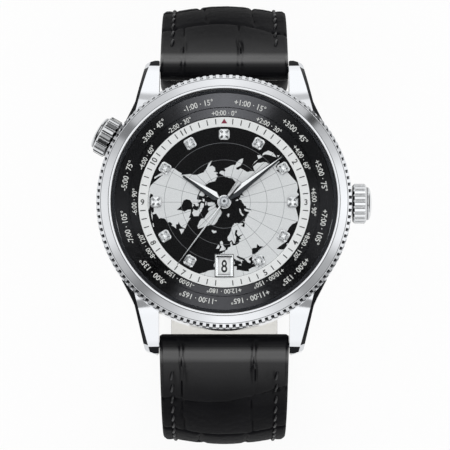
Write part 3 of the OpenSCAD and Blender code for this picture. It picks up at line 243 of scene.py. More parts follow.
# Grey acetal: dark and satin
dress(moulded("acetal_grey", "2E2F31", "3B3C3F", 0.5, 0.12 * mm), "movement_ring")

# Calendar disc
# A thin brass ring, lacquered white and printed with the days. It turns under the dial's window.

# White lacquer: plain white and half matt
dress(moulded("white_lacquer", "F8F8F8", "FFFFFF", 0.45, 0.2 * mm), "date_disc")
# Printing ink: matt black, a few hundredths of a millimetre thick
black_ink = moulded("black_ink", "111113", "1B1B1E", 0.55, 0.1 * mm)


def new_piece(name, points, faces, finish, sharp_angle=35):
    """A mesh piece from points in millimetres, smooth except at edges sharper than the angle."""
    mesh = bpy.data.meshes.new(name)
    mesh.from_pydata([Vector(p) * mm for p in points], [], faces)
    mesh.materials.append(finish)
    mesh.shade_smooth()
    mesh.set_sharp_from_angle(angle=math.radians(sharp_angle))
    piece = bpy.data.objects.new(name, mesh)
    bpy.context.scene.collection.objects.link(piece)
    return piece


def filled_outline(curve, depth):
    """The closed flat solid that a curve's outlines enclose, as points and faces in millimetres."""
    curve.extrude = depth / 2
    holder = bpy.data.objects.new("outline", curve)
    mesh = bpy.data.meshes.new_from_object(holder)
    mesh.validate()
    points = [v.co.copy() for v in mesh.vertices]
    faces = [tuple(f.vertices) for f in mesh.polygons]
    bpy.data.objects.remove(holder)
    bpy.data.meshes.remove(mesh)
    return points, faces


ink_depth = 0.03
# Height of a digit in the font, for letters of size 1
digit_height = 0.695
# How far each stroke is thickened on both sides, for letters of size 1
bold = 0.012
letter_cache = {}


def lettering(words, height, width=1.0):
    """Plain digits of that height, centred, as points and faces; width spreads or squeezes them."""
    if words not in letter_cache:
        curve = bpy.data.curves.new("words", "FONT")
        curve.body = words
        curve.align_x = "CENTER"
        curve.resolution_u = 3
        curve.offset = bold
        letter_cache[words] = filled_outline(curve, ink_depth)
    points, faces = letter_cache[words]
    size = height / digit_height
    sized = [Vector((p.x * size * width, (p.y - digit_height / 2) * size, p.z)) for p in points]
    return sized, faces


def onto_ring(words, height, radius, angle, surface, inward=False, width=1.0):
    """Digits bent round a ring at an angle in degrees; surface gives the height at a radius."""
    points, faces = lettering(words, height, width)
    turn = -1 if inward else 1
    bent = []
    for p in points:
        r = radius + turn * p.y
        a = math.radians(angle) - turn * p.x / radius
        bent.append((r * math.cos(a), r * math.sin(a), surface(r) + ink_depth / 2 + p.z))
    return bent, faces


def gather(parts):
    """Joins lists of points and faces into one."""
    points, faces = [], []
    for some_points, some_faces in parts:
        first = len(points)
        points += [tuple(p) for p in some_points]
        faces += [tuple(i + first for i in face) for face in some_faces]
    return points, faces


date_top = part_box("date_disc")[1].z / mm
date_frame_box = [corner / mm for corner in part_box("date_frame")]
date_r = -(date_frame_box[0].y + date_frame_box[1].y) / 2
shown_date = 8
day_step = 360 / 31
day_height = 2.05
day_width = 0.72
days = gather(onto_ring(str(day), day_height, date_r, -90 + (day - shown_date) * day_step,
              lambda r: date_top, inward=True, width=day_width) for day in range(1, 32))
date_numbers = new_piece("date_numbers", *days, black_ink)
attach(date_numbers, "date_disc")


# Dial and its map
# A brass disc under gloss black lacquer. The map of the northern half of the earth, seen from
# above the pole, is a thin silvered layer on it, with circles and rays of latitude and longitude.
dial_top = 6.6
map_edge = 12.8
mm_per_degree = 0.209
map_turn = 270
circle_radii = (4.4, 7.2, 10.1)
chart_rays = 24
print_line = 0.07


def chart_lines(tree, ray_count):
    """1 on the printed circles and rays of the map, and 0 between them."""
    where = add_node(tree, "SeparateXYZ", {0: add_node(tree, "TexCoord").outputs["Object"]})
    x, y = where.outputs[0], where.outputs[1]
    squares = [add_node(tree, "Math", {0: a, 1: 2.0}, operation="POWER").outputs[0] for a in (x, y)]
    total = add_node(tree, "Math", {0: squares[0], 1: squares[1]}, operation="ADD").outputs[0]
    radius = add_node(tree, "Math", {0: total, 1: 0.5}, operation="POWER").outputs[0]
    lines = None
    for r in circle_radii:
        near = add_node(tree, "Math", {0: radius, 1: r * mm, 2: print_line / 2 * mm},
                        operation="COMPARE")
        lines = near.outputs[0] if lines is None else add_node(
            tree, "Math", {0: lines, 1: near.outputs[0]}, operation="MAXIMUM").outputs[0]
    if ray_count:
        angle = add_node(tree, "Math", {0: y, 1: x}, operation="ARCTAN2").outputs[0]
        step = 2 * math.pi / ray_count
        off = add_node(tree, "Math", {0: angle, 1: step / 2}, operation="ADD").outputs[0]
        off = add_node(tree, "Math", {0: off, 1: step}, operation="FLOORED_MODULO").outputs[0]
        off = add_node(tree, "Math", {0: off, 1: step / 2}, operation="SUBTRACT").outputs[0]
        off = add_node(tree, "Math", {0: off, 1: radius}, operation="MULTIPLY").outputs[0]
        ray = add_node(tree, "Math", {0: off, 1: 0.0, 2: print_line / 2 * mm}, operation="COMPARE")
        lines = add_node(tree, "Math", {0: lines, 1: ray.outputs[0]}, operation="MAXIMUM").outputs[0]
    return lines


def black_lacquer():
    """Black lacquer: deep and smooth, hardly mirroring, with thin grey printed circles; the sides of
    the date window are bare and pale."""
    finish, tree, surface = start_finish("black_lacquer", Specular_IOR_Level=0.08)
    where = add_node(tree, "TexCoord")
    speck = add_node(tree, "TexNoise", {"Scale": 0.5 / (0.1 * mm), "Vector": where.outputs["Object"]})
    top = add_node(tree, "Mix", {0: chart_lines(tree, 0), 6: paint("0B0B0D"),
                   7: paint("6A6B6E")}, data_type="RGBA")
    facing = add_node(tree, "SeparateXYZ", {0: where.outputs["Normal"]})
    bare = add_node(tree, "Math", {0: facing.outputs[2], 1: 0.3}, operation="LESS_THAN")
    tone = add_node(tree, "Mix", {0: bare.outputs[0], 6: top.outputs[2], 7: paint("D8D8DA")},
                    data_type="RGBA")
    tree.links.new(tone.outputs[2], surface.inputs["Base Color"])
    roughen(tree, surface, speck.outputs["Fac"], 0.22, 0.32)
    return finish


def silvered_map():
    """Silvered print: pale, half matt and finely grained, with thin grey circles and rays."""
    finish, tree, surface = start_finish("silvered_map", Metallic=0.15)
    grain = add_node(tree, "TexNoise", {"Scale": 0.5 / (0.12 * mm), "Detail": 3.0,
                     "Vector": add_node(tree, "TexCoord").outputs["Object"]})
    tone = add_node(tree, "Mix", {0: grain.outputs["Fac"], 6: paint("D3D4D6"), 7: paint("E6E7E8")},
                    data_type="RGBA")
    lined = add_node(tree, "Mix", {0: chart_lines(tree, chart_rays), 6: tone.outputs[2],
                     7: paint("8C8E92")}, data_type="RGBA")
    tree.links.new(lined.outputs[2], surface.inputs["Base Color"])
    roughen(tree, surface, grain.outputs["Fac"], 0.3, 0.42)
    relief(tree, surface, grain.outputs["Fac"], 0.006)
    return finish


dress(black_lacquer(), "dial")

# Coasts as (longitude, latitude); the southern ones are drawn a few degrees further north,
# so that they show inside the minute ring
old_world = [
    (-5.6, 36), (-8.9, 37), (-9.4, 38.7), (-8.8, 41), (-9.2, 43.1), (-4, 43.5), (-1.7, 43.4),
    (-1.2, 45.5), (-2.2, 47.2), (-4.7, 48.2), (-1.8, 48.7), (-1.7, 49.7), (0.2, 49.6), (1.6, 50.8),
    (3.8, 51.5), (4.8, 53), (8.4, 53.8), (8.2, 56.8), (10.6, 57.7), (10.3, 55.9), (10.9, 54.2),
    (14.2, 54), (18.6, 54.6), (21.1, 55.4), (21.4, 57.5), (24.3, 57.3), (23.7, 59.2), (28, 59.5),
    (30.2, 59.9), (25, 60.2), (22.3, 60.3), (21.4, 62.5), (25.3, 65), (22.2, 65.7), (17.5, 62),
    (18.8, 60.2), (16.6, 57.8), (14.3, 55.5), (12.8, 55.6), (11.3, 58.8), (8, 58.1), (5.5, 58.8),
    (5.1, 61.5), (9, 63.5), (12.8, 66), (15.5, 68.2), (19.5, 69.8), (25.7, 71), (30.8, 70.4),
    (33.5, 69.4), (40.8, 67.7), (41, 66.7), (35, 66.6), (38, 64), (40.5, 64.7), (44, 66.2),
    (43.8, 68.4), (46.5, 68), (46, 66.9), (50, 68.2), (60.5, 68.9), (68.5, 68.3), (67, 71.5),
    (69.5, 73), (72.5, 72.8), (72, 70.5), (73, 68), (71.5, 66.5), (74.8, 68), (74.8, 72),
    (80, 72.3), (80.5, 73.6), (87, 74.9), (98, 76.4), (104.5, 77.7), (113.5, 75.6), (106.5, 73.2),
    (113, 73.8), (127, 73.5), (129.5, 71), (139.5, 72.4), (152, 71), (161, 69.5), (170, 69.9),
    (180, 68.9), (185, 67.4), (190, 66.1), (186.5, 64.4), (180, 65), (177.5, 64.7), (179.3, 62.6),
    (170.3, 60), (163.3, 58.3), (163, 56.2), (160, 53), (156.8, 51.1), (155.7, 54), (156, 57),
    (161, 60.3), (160, 61.6), (156.5, 61.2), (154.5, 59.5), (142.5, 59.2), (135.5, 54.8),
    (141.2, 52.9), (140.5, 50), (140.2, 48.4), (136, 44.5), (130.8, 42.3), (127.5, 39.8),
    (129.4, 37), (129, 35.2), (126.4, 34.5), (126.2, 37), (125, 39.6), (121.7, 39), (121.5, 40.8),
    (118, 39.1), (119, 37.2), (122.5, 37.2), (119.3, 36.4), (121.4, 34.8), (117.5, 34), (114, 33),
    (110, 31.6), (105, 29.3), (101, 29.7), (98, 31), (96, 29.5), (93.2, 32.4), (90, 31.5),
    (87.5, 32.9), (81, 30.5), (75.5, 28.8), (72, 32.5), (64.5, 34.2), (60.5, 32), (57.3, 30.6),
    (56.3, 31.2), (50.5, 33.2), (48, 33.4), (50.2, 30), (51.5, 28.5), (54, 27.6), (56.3, 29.7),
    (58.8, 27), (58.5, 21), (50, 19), (42, 19), (39.2, 21), (35.1, 28), (34.3, 27.9), (32.6, 29.9),
    (34.3, 26), (36.5, 22), (37, 19), (25, 19), (10, 19), (0, 19), (-10, 19), (-20, 20),
    (-21, 26.5), (-18.7, 29), (-15.5, 31), (-12.5, 33.4), (-8.5, 34.6), (-6, 35.5), (-2, 35.1),
    (3, 36.9), (10, 37.3), (11, 36.9), (10.2, 34.2), (15.2, 32.3), (19.5, 30.5), (20, 32.2),
    (23, 32.6), (29, 30.9), (34.2, 31.3), (35.8, 36), (30.6, 36.8), (28, 36.7), (26.8, 38.5),
    (26.3, 40.1), (29.1, 41.2), (26, 40.7), (23.8, 40.2), (22.8, 39.3), (24, 37.7), (22.9, 36.5),
    (21.3, 37.6), (19.4, 41.8), (13.7, 45.4), (12.4, 44.8), (13.6, 43.5), (18.4, 40.1),
    (16.8, 40.5), (15.8, 38), (15.6, 40), (12.3, 41.8), (8.8, 44.4), (6, 43.1), (3.1, 43.1),
    (0, 40), (-2, 36.8)]
new_world = [
    (-168.1, 65.6), (-164, 66.5), (-166.8, 68.3), (-156.5, 71.3), (-141, 69.6), (-135, 69.3),
    (-128, 70.3), (-115, 68.2), (-96, 67.8), (-95, 71.8), (-88, 68.5), (-85.5, 69.7), (-81.5, 69.2),
    (-82, 67), (-86.5, 66.3), (-87, 64.5), (-93.5, 62.5), (-94.7, 59.5), (-92.5, 57.2), (-85, 55.3),
    (-82.3, 53), (-80.5, 51.3), (-79.5, 54.6), (-76.5, 57.2), (-78.3, 60), (-77.5, 62.4),
    (-70.5, 61.1), (-66, 58.8), (-64.5, 60.3), (-61.5, 57), (-55.8, 52.2), (-60, 50.2),
    (-66.5, 50.2), (-64.5, 49), (-65, 47.2), (-61, 45.8), (-66, 43.6), (-67, 44.8), (-70, 43.6),
    (-70, 41.7), (-74, 40.6), (-76, 37.4), (-75.6, 36.2), (-78, 35.4), (-80.6, 34.4), (-80.1, 31.8),
    (-81.4, 31.4), (-82.4, 33), (-87, 33.2), (-93.5, 32.9), (-96.2, 32.2), (-96.8, 30.3),
    (-94, 29.7), (-90, 30), (-86, 29.7), (-83.6, 28.6), (-83.5, 25), (-97, 20), (-98.5, 26),
    (-100, 28.6), (-103, 29.3), (-107, 31.9), (-111, 34.3), (-114.5, 36.1), (-111.5, 32.9),
    (-108.6, 30.8), (-109.8, 30.2), (-113.2, 32.6), (-117.2, 35.4), (-120.6, 37.2), (-122.5, 38.8),
    (-124.3, 40.9), (-124, 46), (-124.6, 48.4), (-122.8, 49), (-130.2, 54.5), (-134, 58),
    (-139.5, 59.6), (-146, 60.7), (-151.5, 59.3), (-158.5, 56), (-164, 54.7), (-157.5, 58.7),
    (-162, 58.8), (-165.5, 61), (-164.5, 63.1), (-161, 64)]
islands = [
    [(-44, 59.9), (-48, 61), (-52, 64.5), (-53.8, 67.2), (-51, 69.5), (-58, 75.3), (-68, 76.1),
     (-72, 78.3), (-60, 82), (-32, 83.5), (-12, 81.5), (-19, 76.5), (-23, 70.5), (-32, 68.3),
     (-38, 65.8), (-42.5, 61.5)],
    [(-22.5, 64), (-24, 65.5), (-15, 66), (-14, 64.8), (-18.5, 63.4)],
    [(-5.3, 50.2), (1.2, 51.2), (1.6, 52.8), (-1.5, 55), (-2, 57.6), (-4, 58.6), (-6, 57.5),
     (-5, 55), (-3.2, 53.8), (-5, 51.8)],
    [(-6.3, 52.2), (-10, 51.8), (-8, 55.2), (-5.8, 54.5)],
    [(14, 77.2), (11.5, 79.5), (20, 80.3), (24, 79.5)],
    [(53, 71.5), (56.5, 71), (58, 73.5), (68, 76.8), (60, 76), (54, 73.5)],
    [(96, 79), (100, 78.3), (104, 79.3), (97, 81)],
    [(138, 75), (148, 75.4), (142, 76)],
    [(142, 46), (143.3, 49), (143, 53.5), (142.2, 48)],
    [(140.1, 42), (143.2, 42.1), (145.2, 43.6), (141.8, 45.4)],
    [(131, 34.2), (135.5, 33.6), (139.8, 35), (141.8, 39), (141.2, 41.3), (139.6, 38.8),
     (136.8, 37.2), (133, 35.6)],
    [(130, 33.4), (131.8, 32.8), (130.6, 31.2)],
    [(120.2, 23), (121.6, 25.2), (120.9, 22.3)],
    [(-61.5, 66.5), (-65, 63), (-71.5, 62.8), (-77.5, 64.6), (-72.5, 67.3), (-78, 70),
     (-88.5, 71.5), (-86, 73.6), (-77, 73), (-68, 70.3)],
    [(-105.5, 69), (-116, 69), (-117, 71.5), (-112, 73), (-105, 72)],
    [(-120.5, 72), (-125, 72), (-123, 74.3), (-117.5, 73.5)],
    [(-77, 77), (-89, 76.5), (-92, 80), (-86, 82.3), (-70, 83), (-62, 82.3), (-71, 79.5)],
    [(-80, 74.8), (-92, 74.8), (-92, 76), (-82, 75.6)],
    [(-93, 72.5), (-100, 72), (-99, 74), (-91, 74)],
    [(-106, 75), (-116, 75.5), (-110, 76.5)],
    [(-53, 46.8), (-59, 47.7), (-56, 51.5), (-54, 49.5)],
    [(-81, 64), (-87, 64.2), (-84.5, 65.8)],
    [(12.5, 38), (15.4, 38.1), (15.1, 36.7)],
    [(8.3, 39), (9.7, 39.2), (9.2, 42.5), (8.3, 41)],
    [(-83.5, 30.9), (-79, 31.3), (-75.5, 30.4), (-79.5, 30.4)],
    [(-73.5, 30.6), (-70.5, 30.2), (-70.8, 29.4), (-73.6, 29.9)],
    [(23.6, 35.3), (26.3, 35.2), (25, 34.9)]]
lakes = [
    [(28.2, 42), (28.7, 43.7), (30.8, 46.3), (33, 46), (35, 44.9), (38, 47), (38.5, 44.5),
     (41.5, 42), (34.8, 42), (31.3, 41.2)],
    [(-124, 66), (-118, 66.5), (-122, 65.2)]]


def chart(longitude, latitude):
    """Place on the dial in millimetres, from above the pole."""
    r = (90 - latitude) * mm_per_degree
    a = math.radians(longitude + map_turn)
    return r * math.cos(a), r * math.sin(a)


longest_stretch, coast_jag = 5, 0.09


def coast_points(coast):
    """A coast on the dial: long stretches are split, and split points wander a little."""
    points = []
    for (lon_a, lat_a), (lon_b, lat_b) in zip(coast, coast[1:] + coast[:1]):
        pieces = max(1, math.ceil(math.hypot(lon_b - lon_a, lat_b - lat_a) / longest_stretch))
        for i in range(pieces):
            x, y = chart(lon_a + (lon_b - lon_a) * i / pieces, lat_a + (lat_b - lat_a) * i / pieces)
            stray = coast_jag if i > 0 else 0
            points.append((x + wander.uniform(-stray, stray), y + wander.uniform(-stray, stray)))
    return points


wander = random.Random(4)
coasts = bpy.data.curves.new("coasts", "CURVE")
coasts.dimensions = "2D"
coasts.fill_mode = "BOTH"
for coast in [old_world, new_world] + islands + lakes:
    outline = coasts.splines.new("POLY")
    places = coast_points(coast)
    outline.points.add(len(places) - 1)
    for point, (x, y) in zip(outline.points, places):
        point.co = (x, y, 0, 1)
    outline.use_cyclic_u = True
map_depth = 0.05
land_points, land_faces = filled_outline(coasts, map_depth)
land_points = [(p.x, p.y, dial_top + map_depth / 2 + p.z) for p in land_points]
map_land = new_piece("map_land", land_points, land_faces, silvered_map())


def cut_away(piece, points, faces, name, sharp_angle=35, keep_inside=False):
    """Cuts a closed shape, given in millimetres, out of a piece, or cuts off all outside it."""
    tool = new_piece(name, points, faces, piece.data.materials[0])
    cut = piece.modifiers.new("cut", "BOOLEAN")
    cut.object = tool
    cut.operation = "INTERSECT" if keep_inside else "DIFFERENCE"
    cut.solver = "EXACT"
    bpy.context.view_layer.update()
    whole = piece.evaluated_get(bpy.context.evaluated_depsgraph_get())
    mesh = bpy.data.meshes.new_from_object(whole)
    mesh.shade_smooth()
    mesh.set_sharp_from_angle(angle=math.radians(sharp_angle))
    piece.modifiers.remove(cut)
    piece.data = mesh
    bpy.data.objects.remove(tool)


def block(low, high):
    """Points and faces of a block between two corners."""
    points = [(x, y, z) for z in (low[2], high[2]) for y in (low[1], high[1])
              for x in (low[0], high[0])]
    faces = [(0, 2, 3, 1), (4, 5, 7, 6), (0, 1, 5, 4), (2, 6, 7, 3), (0, 4, 6, 2), (1, 3, 7, 5)]
    return points, faces


def rod(centre, along, across, normal, radius, depth, count=28):
    """Points and faces of a round cutter."""
    points = []
    for lift in (-depth, depth):
        for i in range(count):
            a = 2 * math.pi * i / count
            points.append(centre + normal * lift
                          + radius * (along * math.cos(a) + across * math.sin(a)))
    faces = [tuple(range(count - 1, -1, -1)), tuple(range(count, 2 * count))]
    faces += [(i, (i + 1) % count, count + (i + 1) % count, count + i) for i in range(count)]
    return points, faces


x_axis, y_axis, z_axis = Vector((1, 0, 0)), Vector((0, 1, 0)), Vector((0, 0, 1))
cut_away(map_land, *rod(z_axis * dial_top, x_axis, y_axis, z_axis, map_edge, 1, 180), "map_rim",
         keep_inside=True)
low, high = date_frame_box
window_rim = 0.3
cut_away(map_land, *block((low.x + window_rim, low.y + window_rim, dial_top - 1),
         (high.x - window_rim, high.y - window_rim, dial_top + 1)), "window_cut")
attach(map_land, "root")


# Minute ring
# A flat brass ring, lacquered white, that slopes up from the dial. Minute ticks and hour numbers
# are printed in dark grey, with a red triangle at 12; the date window takes the place of the 6.
minute_ring_in, minute_ring_level, minute_ring_rise = 12.85, 6.72, 0.1


def minute_slope(r):
    """Height of the minute ring at a radius."""
    return minute_ring_level + (r - minute_ring_in) * minute_ring_rise


def tick(r_in, r_out, angle, width, surface):
    """A printed bar along a ray."""
    a = math.radians(angle)
    along, across = (math.cos(a), math.sin(a)), (-math.sin(a), math.cos(a))
    points = []
    for lift in (0, ink_depth):
        for r, side in ((r_in, -1), (r_out, -1), (r_out, 1), (r_in, 1)):
            off = side * width / 2
            points.append((r * along[0] + off * across[0], r * along[1] + off * across[1],
                           surface(r) + lift))
    return points, [(3, 2, 1, 0), (4, 5, 6, 7), (0, 1, 5, 4), (1, 2, 6, 5), (2, 3, 7, 6), (3, 0, 4, 7)]


# Ring lacquer: a little greyer than the calendar disc, and half matt
dress(moulded("ring_lacquer", "EEEEEE", "F6F6F6", 0.45, 0.2 * mm), "minute_track_ring")
# Printing inks: dark grey for the minutes, deep red for the top mark, both thin and half matt
grey_ink = moulded("grey_ink", "242427", "333336", 0.5, 0.1 * mm)
red_ink = moulded("red_ink", "7D1238", "94183F", 0.45, 0.1 * mm)
hour_number_r = 13.75
hour_number_height = 0.95
tick_in, tick_out, tick_w = 13.3, 14.2, 0.15
minute_marks = [tick(tick_in, tick_out, 90 - 6 * i, tick_w, minute_slope) for i in range(60) if i % 5]
for hour in (1, 2, 4, 5, 7, 8, 10, 11):
    minute_marks.append(onto_ring(str(hour), hour_number_height, hour_number_r, 90 - 30 * hour,
                                  minute_slope, inward=3 < hour < 9))
for hour, side in ((3, 1), (9, -1)):
    points, faces = lettering(str(hour), hour_number_height)
    level = minute_slope(hour_number_r) + ink_depth / 2
    minute_marks.append(([(p.x + side * hour_number_r, p.y, level + p.z) for p in points], faces))
minute_print = new_piece("minute_print", *gather(minute_marks), grey_ink)
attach(minute_print, "root")
triangle_in, triangle_half = 13.4, 0.5
triangle = [(0, tick_out), (-triangle_half, triangle_in), (triangle_half, triangle_in)]
triangle_points = [(x, y, minute_slope(y) + lift) for lift in (0, ink_depth) for x, y in triangle]
twelve_triangle = new_piece("twelve_triangle", triangle_points,
                            [(0, 2, 1), (3, 4, 5), (0, 1, 4, 3), (1, 2, 5, 4), (2, 0, 3, 5)], red_ink)
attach(twelve_triangle, "root")


# Hour stones
# Eleven square stones with cut corners, foil-backed so that they throw the light back. Each is
# glued into a seat in the dial; the foil makes the facets flash white and black.
def foil_backed_crystal():
    """Foil-backed crystal: mirror-bright facets under a clear body."""
    finish, tree, surface = start_finish("foil_backed_crystal", Metallic=0.94, Coat_Weight=1.0)
    depth = add_node(tree, "TexNoise", {"Scale": 0.5 / (0.22 * mm), "Detail": 1.0,
                     "Vector": add_node(tree, "TexCoord").outputs["Object"]})
    shade(tree, surface, depth.outputs["Fac"], "8E9298", "FFFFFF")
    roughen(tree, surface, depth.outputs["Fac"], 0.02, 0.08)
    return finish


marker_r = 11.5
marker_half = 0.9
# Rings of the cut as (height, share of the half width, cut corner): all nearly level, so they
# mirror the lamp; between them stand four little points with steep sides, which mirror the dark
stone_levels = [(0, 1, 0.3), (0.3, 1, 0.3), (0.34, 0.8, 0.26), (0.29, 0.5, 0.2), (0.33, 0.26, 0.12)]
point_place, point_half, point_base, point_rise = 0.45, 0.31, 0.28, 0.27


def stone(angle):
    """A stone of stacked rings of eight corners, with a dark point on each diagonal."""
    points = []
    for level, share, corner in stone_levels:
        h, c = marker_half * share, corner * marker_half
        for x, y in ((h, c - h), (h, h - c), (h - c, h), (c - h, h), (-h, h - c), (-h, c - h),
                     (c - h, -h), (h - c, -h)):
            points.append(Vector((x, y + marker_r, dial_top + level)))
    last = 8 * (len(stone_levels) - 1)
    faces = [(8 * k + i, 8 * k + (i + 1) % 8, 8 * k + 8 + (i + 1) % 8, 8 * k + 8 + i)
             for k in range(len(stone_levels) - 1) for i in range(8)]
    faces += [tuple(range(7, -1, -1)), tuple(range(last, last + 8))]
    for side in (-1, 1):
        for end in (-1, 1):
            middle = Vector((side * point_place, end * point_place + marker_r, dial_top + point_base))
            first = len(points)
            points += [middle + Vector((x, y, 0)) * point_half
                       for x, y in ((1, 0), (0, 1), (-1, 0), (0, -1))]
            points.append(middle + Vector((0, 0, point_rise)))
            faces.append((first + 3, first + 2, first + 1, first))
            faces += [(first + i, first + (i + 1) % 4, first + 4) for i in range(4)]
    turn = Matrix.Rotation(math.radians(angle), 3, "Z")
    return [turn @ p for p in points], faces


hour_stones = new_piece("hour_stones", *gather(stone(-30 * i) for i in range(12) if i != 6),
                        foil_backed_crystal(), 5)
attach(hour_stones, "root")
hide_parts("hour_markers")


# Hands and date frame
# Steel blades with a roofed top: a diamond cuts one side to a clean mirror, the other is ground
# matt and painted dark as a dark reflection. They are pressed on their tubes; the frame has two feet
# through the dial.

# How far a hollow's walls are felt for the painted shade, in millimetres
hollow_reach = 0.6
# Upward share of a bevel's normal, and how far to each side it still counts as a bevel painted dark
bevel_up, bevel_band = 0.64, 0.11


def polished(name, colour, dark, roughness, scratch_w, hollow=(0.5, 0.85), bevel=True,
             matt_shaded_side=False, rings=()):
    """Mirror-polished metal with the faintest hairlines, and painted shade in its colour. Hollows are
    painted
    dark where little open sky is found: hollow gives the shares of open sky between which they
    brighten.
    So are 45 degree bevels, as a painted dark reflection, with matt_shaded_side one facet of a hand,
    which is also rougher, and dark lines round rings, given as (radius, width) in millimetres."""
    finish, tree, surface = start_finish(name, Metallic=1.0)
    where = add_node(tree, "TexCoord")
    stretched = add_node(tree, "Mapping", {"Vector": where.outputs["Object"], "Scale": (1, 0.06, 1)})
    hairs = add_node(tree, "TexNoise", {"Vector": stretched.outputs[0], "Scale": 0.5 / scratch_w,
                     "Detail": 2.0})
    facing = add_node(tree, "SeparateXYZ", {0: where.outputs["Normal"]})
    # Painted shade: the colour darkens in hollows by ambient occlusion
    open_sky_share = add_node(tree, "AmbientOcclusion", {"Distance": hollow_reach * mm}, samples=6)
    bright = add_node(tree, "MapRange", {"Value": open_sky_share.outputs["AO"], "From Min": hollow[0],
                      "From Max": hollow[1]})
    if bevel:
        # Painted dark reflection on 45 degree bevels
        slanting = add_node(tree, "Math", {0: facing.outputs[2], 1: bevel_up, 2: bevel_band},
                            operation="COMPARE")
        unshaded = add_node(tree, "Math", {0: 1.0, 1: slanting.outputs[0]}, operation="SUBTRACT")
        bright = add_node(tree, "Math", {0: bright.outputs[0], 1: unshaded.outputs[0]},
                          operation="MULTIPLY")
    if matt_shaded_side:
        # Painted dark reflection on one facet of a hand; that facet is also rougher
        side = add_node(tree, "MapRange", {"Value": facing.outputs[1], "From Min": -0.06,
                        "From Max": 0.0})
        bright = add_node(tree, "Math", {0: bright.outputs[0], 1: side.outputs[0]},
                          operation="MULTIPLY")
    if rings:
        flat = add_node(tree, "VectorMath", {0: where.outputs["Object"], 1: (1, 1, 0)},
                        operation="MULTIPLY")
        radius = add_node(tree, "VectorMath", {0: flat.outputs[0]}, operation="LENGTH")
    for r, width in rings:
        # Painted shade: a dark line along each ring
        near = add_node(tree, "Math", {0: radius.outputs["Value"], 1: r * mm, 2: width / 2 * mm},
                        operation="COMPARE")
        unshaded = add_node(tree, "Math", {0: near.outputs[0], 1: -0.7, 2: 1.0},
                         operation="MULTIPLY_ADD")
        bright = add_node(tree, "Math", {0: bright.outputs[0], 1: unshaded.outputs[0]},
                          operation="MULTIPLY")
    # The painted shade and dark reflections darken the base colour
    shade(tree, surface, bright.outputs[0], dark, colour)
    worn = add_node(tree, "MapRange", {"Value": hairs.outputs["Fac"], "To Min": roughness * 0.6,
                    "To Max": roughness * 1.5})
    satin = add_node(tree, "Mix", {0: bright.outputs[0], 2: 0.3, 3: worn.outputs[0]})
    tree.links.new(satin.outputs[0], surface.inputs["Roughness"])
    return finish


# Diamond-cut steel: a clean mirror on one facet, rougher and painted grey as a dark reflection on the
# other, with painted shade in hollows
cut_steel = polished("diamond_cut_steel", "E9EAEC", "55575B", 0.06, 0.05 * mm, matt_shaded_side=True)
# Bright steel: nearly white, with painted shade grey only deep in the window
bright_steel = polished("bright_steel", "F2F3F4", "8A8C90", 0.1, 0.05 * mm, (0.25, 0.6), bevel=False)
dress(cut_steel, "hour_hand", "minute_hand")
dress(bright_steel, "date_frame")
# Painted shade and reflection on the boss of the second hand: grey rings round the pin, as (radius in
# millimetres, grey); the rest is bright
boss_painted_rings = ((0, "55575B"), (0.22, "3A3B3E"), (0.3, "B4B6B9"), (0.55, "A2A4A8"), (0.7, "6A6C70"),
              (0.85, "B8BABD"), (1.05, "8A8C90"), (1.25, "E6E7E9"))
boss_r = boss_painted_rings[-1][0]


def set_stops(ramp, stops):
    """Gives a ramp its stops, as (place from 0 to 1, colour)."""
    levels = ramp.color_ramp.elements
    while len(levels) > 1:
        levels.remove(levels[0])
    levels[0].position, levels[0].color = stops[0]
    for place, colour in stops[1:]:
        levels.new(place).color = colour


def turned_boss():
    """Polished steel, with rings of painted shade and reflection round the pin of the second hand."""
    finish, tree, surface = start_finish("turned_boss", Metallic=1.0)
    where = add_node(tree, "TexCoord").outputs["Object"]
    flat = add_node(tree, "VectorMath", {0: where, 1: (1, 1, 0)}, operation="MULTIPLY")
    radius = add_node(tree, "VectorMath", {0: flat.outputs[0]}, operation="LENGTH")
    share = add_node(tree, "Math", {0: radius.outputs["Value"], 1: boss_r * mm}, operation="DIVIDE")
    # Painted shade and reflection: grey rings by radius
    rings = add_node(tree, "ValToRGB", {0: share.outputs[0]})
    set_stops(rings, [(r / boss_r, paint(grey)) for r, grey in boss_painted_rings])
    tree.links.new(rings.outputs[0], surface.inputs["Base Color"])
    grain = add_node(tree, "TexNoise", {"Vector": where, "Scale": 0.5 / (0.05 * mm), "Detail": 2.0})
    roughen(tree, surface, grain.outputs["Fac"], 0.06, 0.16)
    return finish


dress(turned_boss(), "second_hand")


# Zone ring
# A brass ring, blackened and satin-turned, with teeth underneath. White zone numbers and degrees
# are printed on its two bands, and it turns round the dial.
def satin_black():
    """Black-plated brass: a dark metal that mirrors a lamp as grey and everything else as black."""
    finish, tree, surface = start_finish("satin_black", Metallic=1.0)
    grain = add_node(tree, "TexNoise", {"Scale": 0.5 / (0.08 * mm), "Detail": 2.0,
                     "Vector": add_node(tree, "TexCoord").outputs["Object"]})
    shade(tree, surface, grain.outputs["Fac"], "5A5A5D", "606064")
    roughen(tree, surface, grain.outputs["Fac"], 0.08, 0.12)
    return finish


zone_ring_in, zone_ring_level = 14.6, 6.92


def zone_slope(r):
    """Height of the zone ring's cone at a radius."""
    return zone_ring_level + (r - zone_ring_in) / 3


dress(satin_black(), "city_ring")
# White ink: not quite white, so that it stays softer than the minute ring
white_ink = moulded("white_ink", "D9D9D6", "E9E9E6", 0.5, 0.1 * mm)
# Radius and height of the numbers on the two bands
outer_band, inner_band = (17.0, 0.9), (15.15, 0.78)
number_width = 0.95
zone_marks = []
for zone in range(-11, 13):
    degrees = f"{zone:+d}:00 · {abs(zone) * 15}°"
    band_r, number_height = outer_band if zone % 2 else inner_band
    zone_marks.append(onto_ring(degrees, number_height, band_r, 90 - 15 * zone, zone_slope,
                                width=number_width))
zone_numbers = new_piece("zone_numbers", *gather(zone_marks), white_ink)
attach(zone_numbers, "city_ring")


